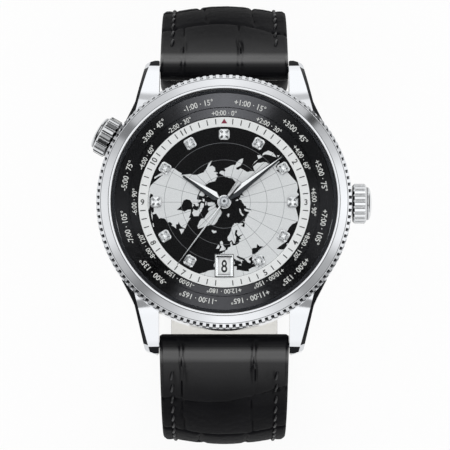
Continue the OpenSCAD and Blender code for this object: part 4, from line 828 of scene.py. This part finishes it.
# Case, lugs and back
# Forged and turned from stainless steel, then polished on felt wheels. The back is screwed in
# and circular-brushed, with a window of mineral glass; nylon rings seal both sides.

# Mirror steel: bright flats, with bevels painted black as a dark reflection and hollows painted black
# as shade
mirror_steel = polished("mirror_steel", "D6D8DB", "1C1D1F", 0.07, 0.08 * mm, (0.2, 0.5))
# Brushed steel: grey and silky, with a fine grain one way
brushed_steel = grained_metal("brushed_steel", "A9ABAE", "C4C6C9", 0.22, 0.4, 0.07 * mm, (1, 12, 1))
# Seal nylon: black and dull
seal_nylon = moulded("seal_nylon", "0E0E0F", "18181A", 0.55, 0.15 * mm)
dress(mirror_steel, "case_middle")
dress(brushed_steel, "case_back", "crown_tube", "ring_crown_tube", "spring_bar_12", "spring_bar_6")
dress(seal_nylon, "case_back_gasket", "crystal_gasket")

# Crowns
# Turned and fluted in steel, with a domed, polished cap. One winds and sets, the other turns the
# zone ring through its pinion.

# Crown steel: bright flutes, with painted shade black in the hollows between them
crown_steel = polished("crown_steel", "DCDEE0", "161618", 0.08, 0.06 * mm, (0.7, 0.95), bevel=False)
dress(crown_steel, "crown", "ring_crown")

# Bezel
# A steel ring with a coin edge, pressed on the case. Its slope and lip are polished.

# Painted dark lines of shade between lip, step and slope, as (radius, width)
bezel_rings = ((18.95, 0.14), (19.42, 0.12), (20.74, 0.12))
# Bezel steel: the brightest mirror, with thin painted dark lines, painted shade in hollows and painted
# dark reflection on bevels
dress(polished("bezel_steel", "D6D8DB", "2A2B2E", 0.05, 0.08 * mm, rings=bezel_rings), "bezel")


# Crystal and back glass
# Flat sapphire with an anti-reflection coat, chamfered at its edge, and a mineral glass behind.
def coated_glass(name, glint):
    """Coated clear glass: light goes straight through, and only a weak mirror image stays."""
    finish, tree, surface = start_finish(name, Base_Color=(1, 1, 1, 1), Metallic=1.0, Roughness=0.02)
    clear = add_node(tree, "BsdfTransparent", {"Color": (0.985, 0.99, 0.99, 1)})
    facing = add_node(tree, "LayerWeight", {"Blend": 0.5})
    edge = add_node(tree, "Math", {0: facing.outputs["Facing"], 1: 4.0}, operation="POWER")
    mirror = add_node(tree, "MapRange", {"Value": edge.outputs[0], "To Min": glint, "To Max": 0.7})
    both = add_node(tree, "MixShader", {0: mirror.outputs["Result"], 1: clear.outputs[0],
                    2: surface.outputs[0]})
    tree.links.new(both.outputs[0], tree.nodes["Material Output"].inputs["Surface"])
    return finish


dress(coated_glass("coated_sapphire", 0.0), "crystal")
dress(coated_glass("mineral_glass", 0.02), "case_back_glass")


# Strap halves
# Split calf leather, embossed with large square scales and glazed black, over a soft padding and a
# pale lining. The edges are painted, a thread runs along both sides, and each end wraps its bar.
def joint_place(name):
    """Place of a joint's axis in millimetres."""
    return Vector(next(j["pos_m"] for j in frame["joints"] if j["name"] == name)) / mm


strap_bar = joint_place("strap_12_swing")
first_fall = 33
bend_turns = (57, 20, 70)
short_len = 76
first_radius, last_radius = 27.8, 20
last_bend_share = 13.4
middle_bend = short_len - math.radians(first_radius * bend_turns[0]) - last_bend_share
middle_radius = middle_bend / math.radians(bend_turns[1])
bend_radii = (first_radius, middle_radius, last_radius)
bend_lengths = [r * math.radians(t) for r, t in zip(bend_radii, bend_turns)]
long_len = 103.15
tip_len = 11
bar_half_w, end_half_w = 10.9, 10.0
bar_thick, end_thick = 3.1, 2.3
lining_thick = 1.0
padding = 0.9
shoulder_w = 2.3
stitch_in = 1.95
bore = 1.05


def strap_place(s):
    """Middle line of a strap half at distance s: place, direction and outward normal as (out, up)."""
    out, up, angle = strap_bar.y, strap_bar.z, first_fall
    for radius, turn, length in zip(bend_radii, bend_turns, bend_lengths):
        after = angle + turn * max(0, min(1, s / length))
        out += radius * (math.sin(math.radians(after)) - math.sin(math.radians(angle)))
        up += radius * (math.cos(math.radians(after)) - math.cos(math.radians(angle)))
        angle = after
        s = s - length
    c, d = math.cos(math.radians(angle)), math.sin(math.radians(angle))
    rest = max(0, s)
    return Vector((out + rest * c, up - rest * d)), Vector((c, -d)), Vector((d, c))


def ease(value, start, end):
    """0 before start, 1 after end, and smooth between."""
    share = max(0, min(1, (value - start) / (end - start)))
    return share * share * (3 - 2 * share)


def strap_half_w(s, length):
    """Half the width: tapering, with a rounded tip on the long half."""
    half = bar_half_w + (end_half_w - bar_half_w) * max(0, min(1, s / short_len))
    tip = (s - length + tip_len) / tip_len
    return half if tip <= 0 or length == short_len else half * math.sqrt(max(0.04, 1 - tip * tip))


def strap_thick(s):
    """Thickness at the stitched edge."""
    return bar_thick + (end_thick - bar_thick) * max(0, min(1, s / short_len))


def strap_crown(s):
    """Height of the padding above the stitched edge."""
    return padding * ease(s, 0.5, 6) * (1 - 0.85 * ease(s, 25, 70))


def scale_rows(first_rows, length, seed):
    """Rows of embossed scales: the crease after each as (s, slant, bow), and its lengthways cuts."""
    dice = random.Random(seed)
    rows = list(first_rows)
    s = rows[-1][0][0]
    while s < length:
        step = dice.uniform(7.6, 9.4) - 2.4 * s / 103
        s += step
        left, right = dice.uniform(-5.8, -3.2), dice.uniform(2.6, 5.6)
        lean = dice.uniform(-0.7, 0.7)
        rows.append(((s, dice.uniform(-0.9, 0.9), dice.uniform(-1.4, 0.4)),
                     [(left, left + lean), (right, right - lean)]))
    return rows


crease_deep, crease_w = 0.34, 0.24


def crease(distance):
    """Depth of a crease at a distance from its middle: a sharp fold with rolled sides."""
    share = distance / crease_w
    return crease_deep * math.exp(-share ** 2) + 0.3 * crease_deep * math.exp(-(share / 3.4) ** 2)


def emboss(rows, s, u):
    """How deep the embossing lies at a place on the leather."""
    deep = 0
    before = -30
    for (middle, slant, bow), cuts in rows:
        after = middle + slant * u / 10 + bow * (u / 10) ** 2
        wobble = 0.35 * noise.noise(Vector((u * 0.35, middle, 0)))
        deep = max(deep, crease(s - after - wobble))
        if before < s < after:
            share = (s - before) / (after - before)
            for start, end in cuts:
                edge = start + (end - start) * share
                edge += 0.3 * noise.noise(Vector((middle, s * 0.4, start)))
                deep = max(deep, crease(u - edge))
        before = after
    return deep


roll_rise = 0.35
edge_drop = 0.35
stitch_sink, stitch_sink_w = 0.14, 0.42
grain_deep, fine_grain_deep = 0.035, 0.015


def leather_top(rows, s, u, half):
    """Height of the glazed leather over the middle line, with its padding, creases and fine grain."""
    flat = max(0.3, half - shoulder_w)
    share = min(1, abs(u) / flat)
    pad = strap_crown(s) * math.cos(math.pi / 2 * share) ** 0.9
    roll = roll_rise * (1 - ease(s, 0, 3.2))
    edge = edge_drop * ease(abs(u), half - 0.7, half) ** 2
    from_seam = half - abs(u) - stitch_in
    stitch = stitch_sink * math.exp(-(from_seam / stitch_sink_w) ** 2) * ease(s, 3, 4.5)
    grain = (grain_deep * noise.noise(Vector((u, s, 0)) * 1.1)
             + fine_grain_deep * noise.noise(Vector((u, s, 9)) * 3.2))
    fade = 0.55 + 0.45 * ease(s, 0.8, 3.0)
    return (strap_thick(s) / 2 + pad + roll - edge - stitch - 0.05
            + fade * (grain - emboss(rows, s, u)))


# Places across the strap as shares of its half width, closer together near the edges
columns = [math.sin(math.pi / 2 * (i / 39)) * 0.25 + (i / 39) * 0.75 for i in range(-39, 40)]
row_step = 0.3


def set_across(section, side, place, normal):
    """A section given as (across, height), set on the strap at a place."""
    return [(x * side, side * (place.x + normal.x * h), place.y + normal.y * h) for x, h in section]


def strap_section(half, side, place, normal, top, low):
    """One closed ring of points across the strap."""
    ring = [(u * half, top(u * half)) for u in columns]
    under = low + 0.25
    ring += [(half, ring[-1][1] - 0.3), (half, under), (half - 0.2, low)]
    ring += [(half * k, low) for k in (0.5, 0, -0.5)]
    ring += [(0.2 - half, low), (-half, under), (-half, ring[0][1] - 0.3)]
    return set_across(ring, side, place, normal)


def rings_to_mesh(rings, loop=False):
    """A solid through rings of points with the same count: capped, or closed into a loop."""
    count, total = len(rings[0]), len(rings)
    points = [p for ring in rings for p in ring]
    faces = [(i * count + j, i * count + (j + 1) % count, (i + 1) % total * count + (j + 1) % count,
              (i + 1) % total * count + j)
             for i in range(total if loop else total - 1) for j in range(count)]
    if not loop:
        faces += [tuple(range(count - 1, -1, -1)), tuple(range(len(points) - count, len(points)))]
    return points, faces


def roll_rings(side, end, turn, half, radius, top_start, dent=lambda u, i: 0):
    """Leather that wraps a bar, from the strap's face round to its underside; dent is its creases."""
    place, along, normal = end
    rings = []
    for i in range(1, 19):
        angle = math.radians(12 * i)
        out = normal * math.cos(angle) + turn * along * math.sin(angle)
        level = radius + (top_start - radius) * (1 - ease(i, 0, 5))
        rings.append(strap_section(half, side, place, out,
                     lambda u: level - 0.3 * ease(abs(u), half - 0.6, half) ** 2 - dent(u, i), bore))
    return rings


# How strongly the wax shines, as (millimetres beyond the bar, weight)
burnish_stops = ((0, 0.05), (0.7, 0.3), (1.3, 1.0), (2.2, 1.0), (3.0, 0.34), (4.5, 0.24), (7, 0.1),
                 (10, 0.0))
burnish_reach = burnish_stops[-1][0]


def black_leather():
    """Glazed calf: near black, with a waxy gloss, brightest where it is burnished over the bar."""
    finish, tree, surface = start_finish("glazed_black_calf", IOR=1.25, Coat_Roughness=0.2,
                                         Coat_IOR=1.8, Specular_IOR_Level=0.08)
    where = add_node(tree, "TexCoord").outputs["Object"]
    place = add_node(tree, "SeparateXYZ", {0: where})
    reach = add_node(tree, "Math", {0: place.outputs[1]}, operation="ABSOLUTE")
    beyond = add_node(tree, "MapRange", {"Value": reach.outputs[0], "From Min": strap_bar.y * mm,
                      "From Max": (strap_bar.y + burnish_reach) * mm})
    burnish = add_node(tree, "ValToRGB", {0: beyond.outputs[0]})
    set_stops(burnish, [(at / burnish_reach, (w, w, w, 1)) for at, w in burnish_stops])
    tree.links.new(burnish.outputs[0], surface.inputs["Coat Weight"])
    pores = add_node(tree, "TexVoronoi", {"Vector": where, "Scale": 1 / (0.45 * mm)},
                     feature="DISTANCE_TO_EDGE")
    cloud = add_node(tree, "TexNoise", {"Vector": where, "Scale": 0.5 / (2.5 * mm), "Detail": 4.0})
    wrinkles = add_node(tree, "TexNoise", {"Vector": where, "Scale": 0.5 / (0.3 * mm), "Detail": 4.0,
                        "Roughness": 0.65})
    both = add_node(tree, "Math", {0: pores.outputs["Distance"], 1: wrinkles.outputs["Fac"]},
                    operation="ADD")
    shade(tree, surface, cloud.outputs["Fac"], "0B0B0D", "161619")
    roughen(tree, surface, wrinkles.outputs["Fac"], 0.48, 0.66)
    relief(tree, surface, both.outputs[0], 0.03)
    return finish


glazed_calf = black_leather()
# Waxed polyester thread: black, round and a little shiny, twisted from three strands
waxed_thread = moulded("waxed_thread", "131315", "26262A", 0.42, 0.12 * mm)
# Lining calf: undyed, pale and matt
lining_calf = moulded("lining_calf", "F1EFE9", "FAF9F6", 0.62, 0.35 * mm)
lug_roll_r, buckle_roll_r = 1.88, 1.58


def build_upper(name, side, rows, length):
    """The glazed outer leather of one half, with its rolls."""
    steps = round(length / row_step)
    lug_half = strap_half_w(0, length)
    start = strap_place(0)
    first_top = strap_thick(0) / 2 + 0.3
    rings = roll_rings(side, start, -1, lug_half, lug_roll_r, first_top,
                       lambda u, i: 0.55 * emboss(rows, -0.3 * i, u) * (1 - ease(i, 2, 9)))[::-1]
    for i in range(steps + 1):
        s = length * i / steps
        place, _, normal = strap_place(s)
        half = strap_half_w(s, length)
        low = lining_thick - strap_thick(s) / 2
        from_bar = min(s, length - s if length == short_len else s)
        low = max(low, math.sqrt(max(0, bore ** 2 - from_bar ** 2)))
        rings.append(strap_section(half, side, place, normal,
                                   lambda u: max(low + 0.1, leather_top(rows, s, u, half)), low))
    if length == short_len:
        last_top = strap_thick(length) / 2 + 0.05
        rings += roll_rings(side, strap_place(length), 1, half, buckle_roll_r, last_top)
    return new_piece(name, *rings_to_mesh(rings), glazed_calf, 60)


lining_start, lining_step, buckle_gap = 2.4, 1.0, 2.1


def build_lining(name, side, length, end_s):
    """The lining leather under one half."""
    rings = []
    steps = round((end_s - lining_start) / lining_step)
    for i in range(steps + 1):
        s = lining_start + (end_s - lining_start) * i / steps
        place, _, normal = strap_place(s)
        half = strap_half_w(s, length) - 0.05
        low = -strap_thick(s) / 2 + 0.02
        section = [(-half, low + 0.15), (-half, low + 0.93), (-half / 2, low + 0.97), (0, low + 0.97),
                   (half / 2, low + 0.97), (half, low + 0.93), (half, low + 0.15), (half - 0.15, low),
                   (half / 2, low - 0.01), (0, low), (-half / 2, low - 0.01), (0.15 - half, low)]
        rings.append(set_across(section, side, place, normal))
    return new_piece(name, *rings_to_mesh(rings), lining_calf)


stitch_pitch = 2.7
stitch_long = 1.9
stitch_lean = 0.16
thread_r = 0.2
first_stitch = 5.2


def build_stitches(name, side, rows, length, last_stitch):
    """Sewing thread: short leaning stitches, each sunk at its two needle holes."""
    parts = []
    count = round((last_stitch - first_stitch) / stitch_pitch)
    for i in range(count + 1):
        middle = first_stitch + (last_stitch - first_stitch) * i / count
        for edge in (-1, 1):
            rings = []
            for k in range(9):
                share = k / 4 - 1
                s = middle + share * stitch_long / 2
                place, _, normal = strap_place(s)
                half = strap_half_w(s, length)
                u = edge * (half - stitch_in) + stitch_lean * share
                level = leather_top(rows, s, u, half) + thread_r * (1.15 - 1.9 * share ** 4)
                thick = thread_r * (1 - 0.45 * share ** 6)
                ring = [(u + thick * math.cos(a), level + thick * math.sin(a))
                        for a in (math.radians(45 * j) for j in range(8))]
                rings.append(set_across(ring, side, place, normal))
            parts.append(rings_to_mesh(rings))
    return new_piece(name, *gather(parts), waxed_thread, 80)


def in_space(side, pair):
    """A vector given as (out, up) for one half, in space."""
    return Vector((0, side * pair.x, pair.y))


# The rows of scales that the camera sees, as in scale_rows; the others are drawn by lot
seen_rows_12 = [((10.1, -0.7, -1.5), [(-7.1, -7.0), (2.8, 2.7)]),
                ((19.4, 0.4, -0.8), [(-3.1, -3.4), (5.2, 4.8)])]
seen_rows_6 = [((10.4, 1.25, -1.25), [(8.6, 7.0), (-4.6, -5.2)]),
               ((21.0, 0.2, -1.2), [(7.3, 6.8), (-4.5, -4.8)])]
rows_12 = scale_rows(seen_rows_12, short_len, 12)
rows_6 = scale_rows(seen_rows_6, long_len, 6)

upper_12 = build_upper("strap_12_leather", 1, rows_12, short_len)
upper_6 = build_upper("strap_6_leather", -1, rows_6, long_len)
lining_12 = build_lining("strap_12_lining_leather", 1, short_len, short_len - buckle_gap)
lining_6 = build_lining("strap_6_lining_leather", -1, long_len, long_len)

# The tongue's slot and the seven holes go through both layers
hole_r, hole_from_tip, hole_pitch, hole_count = 1.0, 22, 6.5, 7
slot_half_w, slot_len = 1.3, 4.6
holes = []
for i in range(hole_count):
    from_bar = long_len - hole_from_tip - hole_pitch * i
    place, along, normal = (in_space(-1, v) for v in strap_place(from_bar))
    holes.append(rod(place, along, x_axis, normal, hole_r, 4))
for piece in (upper_6, lining_6):
    cut_away(piece, *gather(holes), "hole_cut", 60)
place, along, normal = (in_space(1, v) for v in strap_place(short_len))
slot_points = [place + x_axis * x + along * s + normal * h for h in (-4, 4)
               for s in (-slot_len, slot_len) for x in (-slot_half_w, slot_half_w)]
for piece in (upper_12, lining_12):
    cut_away(piece, slot_points, block((0, 0, 0), (1, 1, 1))[1], "slot_cut", 60)

stitches_12 = build_stitches("strap_12_stitches", 1, rows_12, short_len, short_len - 7)
stitches_6 = build_stitches("strap_6_stitches", -1, rows_6, long_len, long_len - tip_len - 1)
for piece, body in ((upper_12, "strap_12"), (upper_6, "strap_6")):
    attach(piece, body)
    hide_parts(body + "_upper")
for piece, body in ((lining_12, "strap_12"), (lining_6, "strap_6")):
    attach(piece, body)
    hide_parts(body + "_lining")
for piece, body in ((stitches_12, "strap_12"), (stitches_6, "strap_6")):
    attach(piece, body)


# Keepers
# Two bands of the same leather, folded and glued into rings round the short half. The one by the
# buckle is sewn in place; the other slides.
keeper_w, keeper_travel = 5.0, 5.0
# Rounded section of a band, as (height in millimetres, share of its width)
keeper_section = [(0.0, -0.38), (0.0, 0.38), (0.3, 0.47), (0.85, 0.47), (1.0, 0.4), (1.06, 0.2),
                  (1.0, 0.0), (1.06, -0.2), (1.0, -0.4), (0.85, -0.47), (0.3, -0.47)]


def build_keeper(name, s, gap):
    """A leather band: a rounded section swept round a rectangle with round corners."""
    half = strap_half_w(s - keeper_travel, short_len) + gap
    low = -strap_thick(s) / 2 - gap
    high = strap_thick(s) / 2 + strap_crown(s - keeper_travel) + end_thick + 2 * gap
    place, along, normal = strap_place(s)
    corner = 1.0
    path = []
    for cx, ch, first in ((half, high, 0), (-half, high, 90), (-half, low, 180), (half, low, 270)):
        inset_x = cx - math.copysign(corner, cx)
        inset_h = ch - math.copysign(corner, ch - (high + low) / 2)
        for k in range(7):
            a = math.radians(first + 15 * k)
            path.append((inset_x, inset_h, math.cos(a), math.sin(a)))
    rings = []
    for x, h, cx, ch in path:
        ring = []
        for lift, v in keeper_section:
            reach = corner + 0.06 + 1.06 * lift
            at = place + normal * (h + ch * reach) + along * (v * keeper_w)
            ring.append((x + cx * reach, at.x, at.y))
        rings.append(ring)
    return new_piece(name, *rings_to_mesh(rings, loop=True), glazed_calf, 40)


fixed_s, free_s = short_len - 7.5, short_len - 17.5
for name, s, gap, body in (("keeper_fixed", fixed_s, 0.3, "strap_12"),
                           ("keeper_free", free_s, 0.4, "keeper_free")):
    band = build_keeper(name + "_leather", s, gap)
    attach(band, body)
    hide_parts(name)

# Buckle
# A polished frame and tongue of solid steel, which swing on a bar through the end of the strap.
# Mirror steel brings its painted shade in hollows and painted dark reflection on bevels
dress(mirror_steel, "buckle_frame", "buckle_tongue")
dress(brushed_steel, "buckle_bar")


# Floor and light
# A white floor under the watch, white also in mirrors and glass, which keeps the soft shadow. The
# studio is a dome of soft panels with dark joints between them, at a plain level of about 1.

# How much of the paper is lifted to white; the rest shows the shadow
shadow_lift = 0.88


def studio_floor():
    """Matt white paper, lifted to plain white where it is seen, less a part of the shadow."""
    finish, tree, surface = start_finish("white_paper", Base_Color=paint("FFFFFF"), Roughness=0.9)
    seen = add_node(tree, "LightPath")
    rays = add_node(tree, "Math", {0: seen.outputs["Is Camera Ray"], 1: seen.outputs["Is Glossy Ray"]},
                    operation="MAXIMUM")
    rays = add_node(tree, "Math", {0: rays.outputs[0], 1: seen.outputs["Is Transmission Ray"]},
                    operation="MAXIMUM")
    share = add_node(tree, "Math", {0: rays.outputs[0], 1: shadow_lift}, operation="MULTIPLY")
    glow = add_node(tree, "Emission", {"Color": (1, 1, 1, 1), "Strength": 1.0})
    both = add_node(tree, "MixShader", {0: share.outputs[0], 1: surface.outputs[0], 2: glow.outputs[0]})
    tree.links.new(both.outputs[0], tree.nodes["Material Output"].inputs["Surface"])
    return finish


floor_half = 1500
floor_gap = 0.3
floor_level = cad_box[0].z / mm - floor_gap
corners = [(x * floor_half, y * floor_half, floor_level)
           for x, y in ((-1, -1), (1, -1), (1, 1), (-1, 1))]
floor = new_piece("floor", corners, [(0, 1, 2, 3)], studio_floor())

studio = bpy.data.worlds.new("studio")
bpy.context.scene.world = studio
studio.use_nodes = True
sky = studio.node_tree
sky.nodes.clear()
view_lean = math.pi / 2 - view_rise
leaned = add_node(sky, "Mapping", {"Vector": add_node(sky, "TexCoord").outputs["Generated"],
                  "Rotation": (view_lean, 0, 0)})
heading = add_node(sky, "SeparateXYZ", {0: leaned.outputs[0]})
azimuth = add_node(sky, "Math", {0: heading.outputs[1], 1: heading.outputs[0]}, operation="ARCTAN2")
turn = add_node(sky, "MapRange", {"Value": azimuth.outputs[0], "From Min": -math.pi,
                "From Max": math.pi})
tilt = add_node(sky, "Math", {0: heading.outputs[2]}, operation="ARCCOSINE")


def panels(*stops):
    """A ring of panels: grey levels at azimuths in degrees, with soft steps between."""
    ramp = add_node(sky, "ValToRGB", {0: turn.outputs[0]})
    ramp.color_ramp.interpolation = "EASE"
    set_stops(ramp, [((a + 180) / 360, (level, level, level, 1)) for a, level in stops])
    return ramp.outputs[0]


# The dome leans by 7.5 degrees, so that a level face mirrors its middle towards the camera. Each
# ring lies between two angles from there: what the bezel, the hands, the zone ring, steeper facets
# and upright faces mirror
bezel_ring = panels(
    (-180, 0.8), (-165, 0.8), (-150, 0.49), (-135, 0.24), (-120, 0.52), (-105, 0.75),
    (-90, 0.98), (-75, 0.9), (-60, 0.68), (-45, 0.31), (-30, 0.41), (-15, 0.9), (0, 1), (15, 0.92),
    (30, 0.6), (40, 0.45), (44, 0.06), (47, 0.06), (49, 0.5), (60, 0.64), (75, 0.79), (90, 0.9),
    (105, 0.8), (120, 0.6), (136, 0.52), (139, 0.2), (145, 0.2), (148, 0.5), (165, 0.74), (180, 0.8))
facet_ring = panels(
    (-180, 0.4), (-150, 0.3), (-60, 0.3), (-20, 0.5), (40, 0.85), (150, 0.85),
    (180, 0.4))
zone_ring = panels(
    (-180, 0.14), (-165, 0.06), (-150, 0.05), (-135, 0.07), (-122, 0.13),
    (-112, 0.7), (-90, 1), (-70, 0.62), (-60, 0.18), (-45, 0.05), (-15, 0.05), (15, 0.13),
    (30, 0.06), (45, 0.01), (60, 0.03), (72, 0.5), (90, 0.55), (105, 0.38), (116, 0.08), (135, 0.02),
    (150, 0.1), (165, 0.14), (180, 0.14))
outer_ring = panels(
    (-180, 0.03), (-118, 0.03), (-106, 0.95), (-74, 0.95), (-62, 0.03), (62, 0.03),
    (76, 1), (104, 1), (118, 0.03), (180, 0.03))
wall = panels(
    (-180, 0.35), (-118, 0.35), (-106, 0.85), (-74, 0.85), (-62, 0.35), (62, 0.35),
    (76, 0.9), (104, 0.9), (118, 0.35), (180, 0.35))
level = add_node(sky, "Value").outputs[0]
level.default_value = 1.0
for start, end, ring in ((9, 13, bezel_ring), (22, 25, facet_ring), (32, 33, zone_ring),
                         (38, 44, outer_ring), (74, 82, wall)):
    step = add_node(sky, "MapRange", {"Value": tilt.outputs[0], "From Min": math.radians(start),
                    "From Max": math.radians(end)}, interpolation_type="SMOOTHSTEP")
    level = add_node(sky, "Mix", {0: step.outputs[0], 2: level, 3: ring}).outputs[0]
panel_level = 1.4
matt_level = 1.05
panel_light = add_node(sky, "Background", {"Color": level, "Strength": panel_level})
lower = add_node(sky, "MapRange", {"Value": tilt.outputs[0], "From Min": math.radians(45),
                 "From Max": math.radians(80), "To Min": 1.0, "To Max": 0.4},
                 interpolation_type="SMOOTHSTEP")
matt_light = add_node(sky, "Background", {"Color": lower.outputs[0], "Strength": matt_level})
white = add_node(sky, "Background", {"Color": (1, 1, 1, 1), "Strength": 1.0})
ray = add_node(sky, "LightPath")
lit = add_node(sky, "MixShader", {0: ray.outputs["Is Diffuse Ray"], 1: panel_light.outputs[0],
               2: matt_light.outputs[0]})
clear_view = add_node(sky, "Math", {0: ray.outputs["Is Camera Ray"],
                      1: ray.outputs["Is Transmission Ray"]}, operation="MAXIMUM")
seen_sky = add_node(sky, "MixShader", {0: clear_view.outputs[0], 1: lit.outputs[0],
                    2: white.outputs[0]})
add_node(sky, "OutputWorld", {0: seen_sky.outputs[0]})

bpy.context.scene.view_settings.view_transform = "Standard"
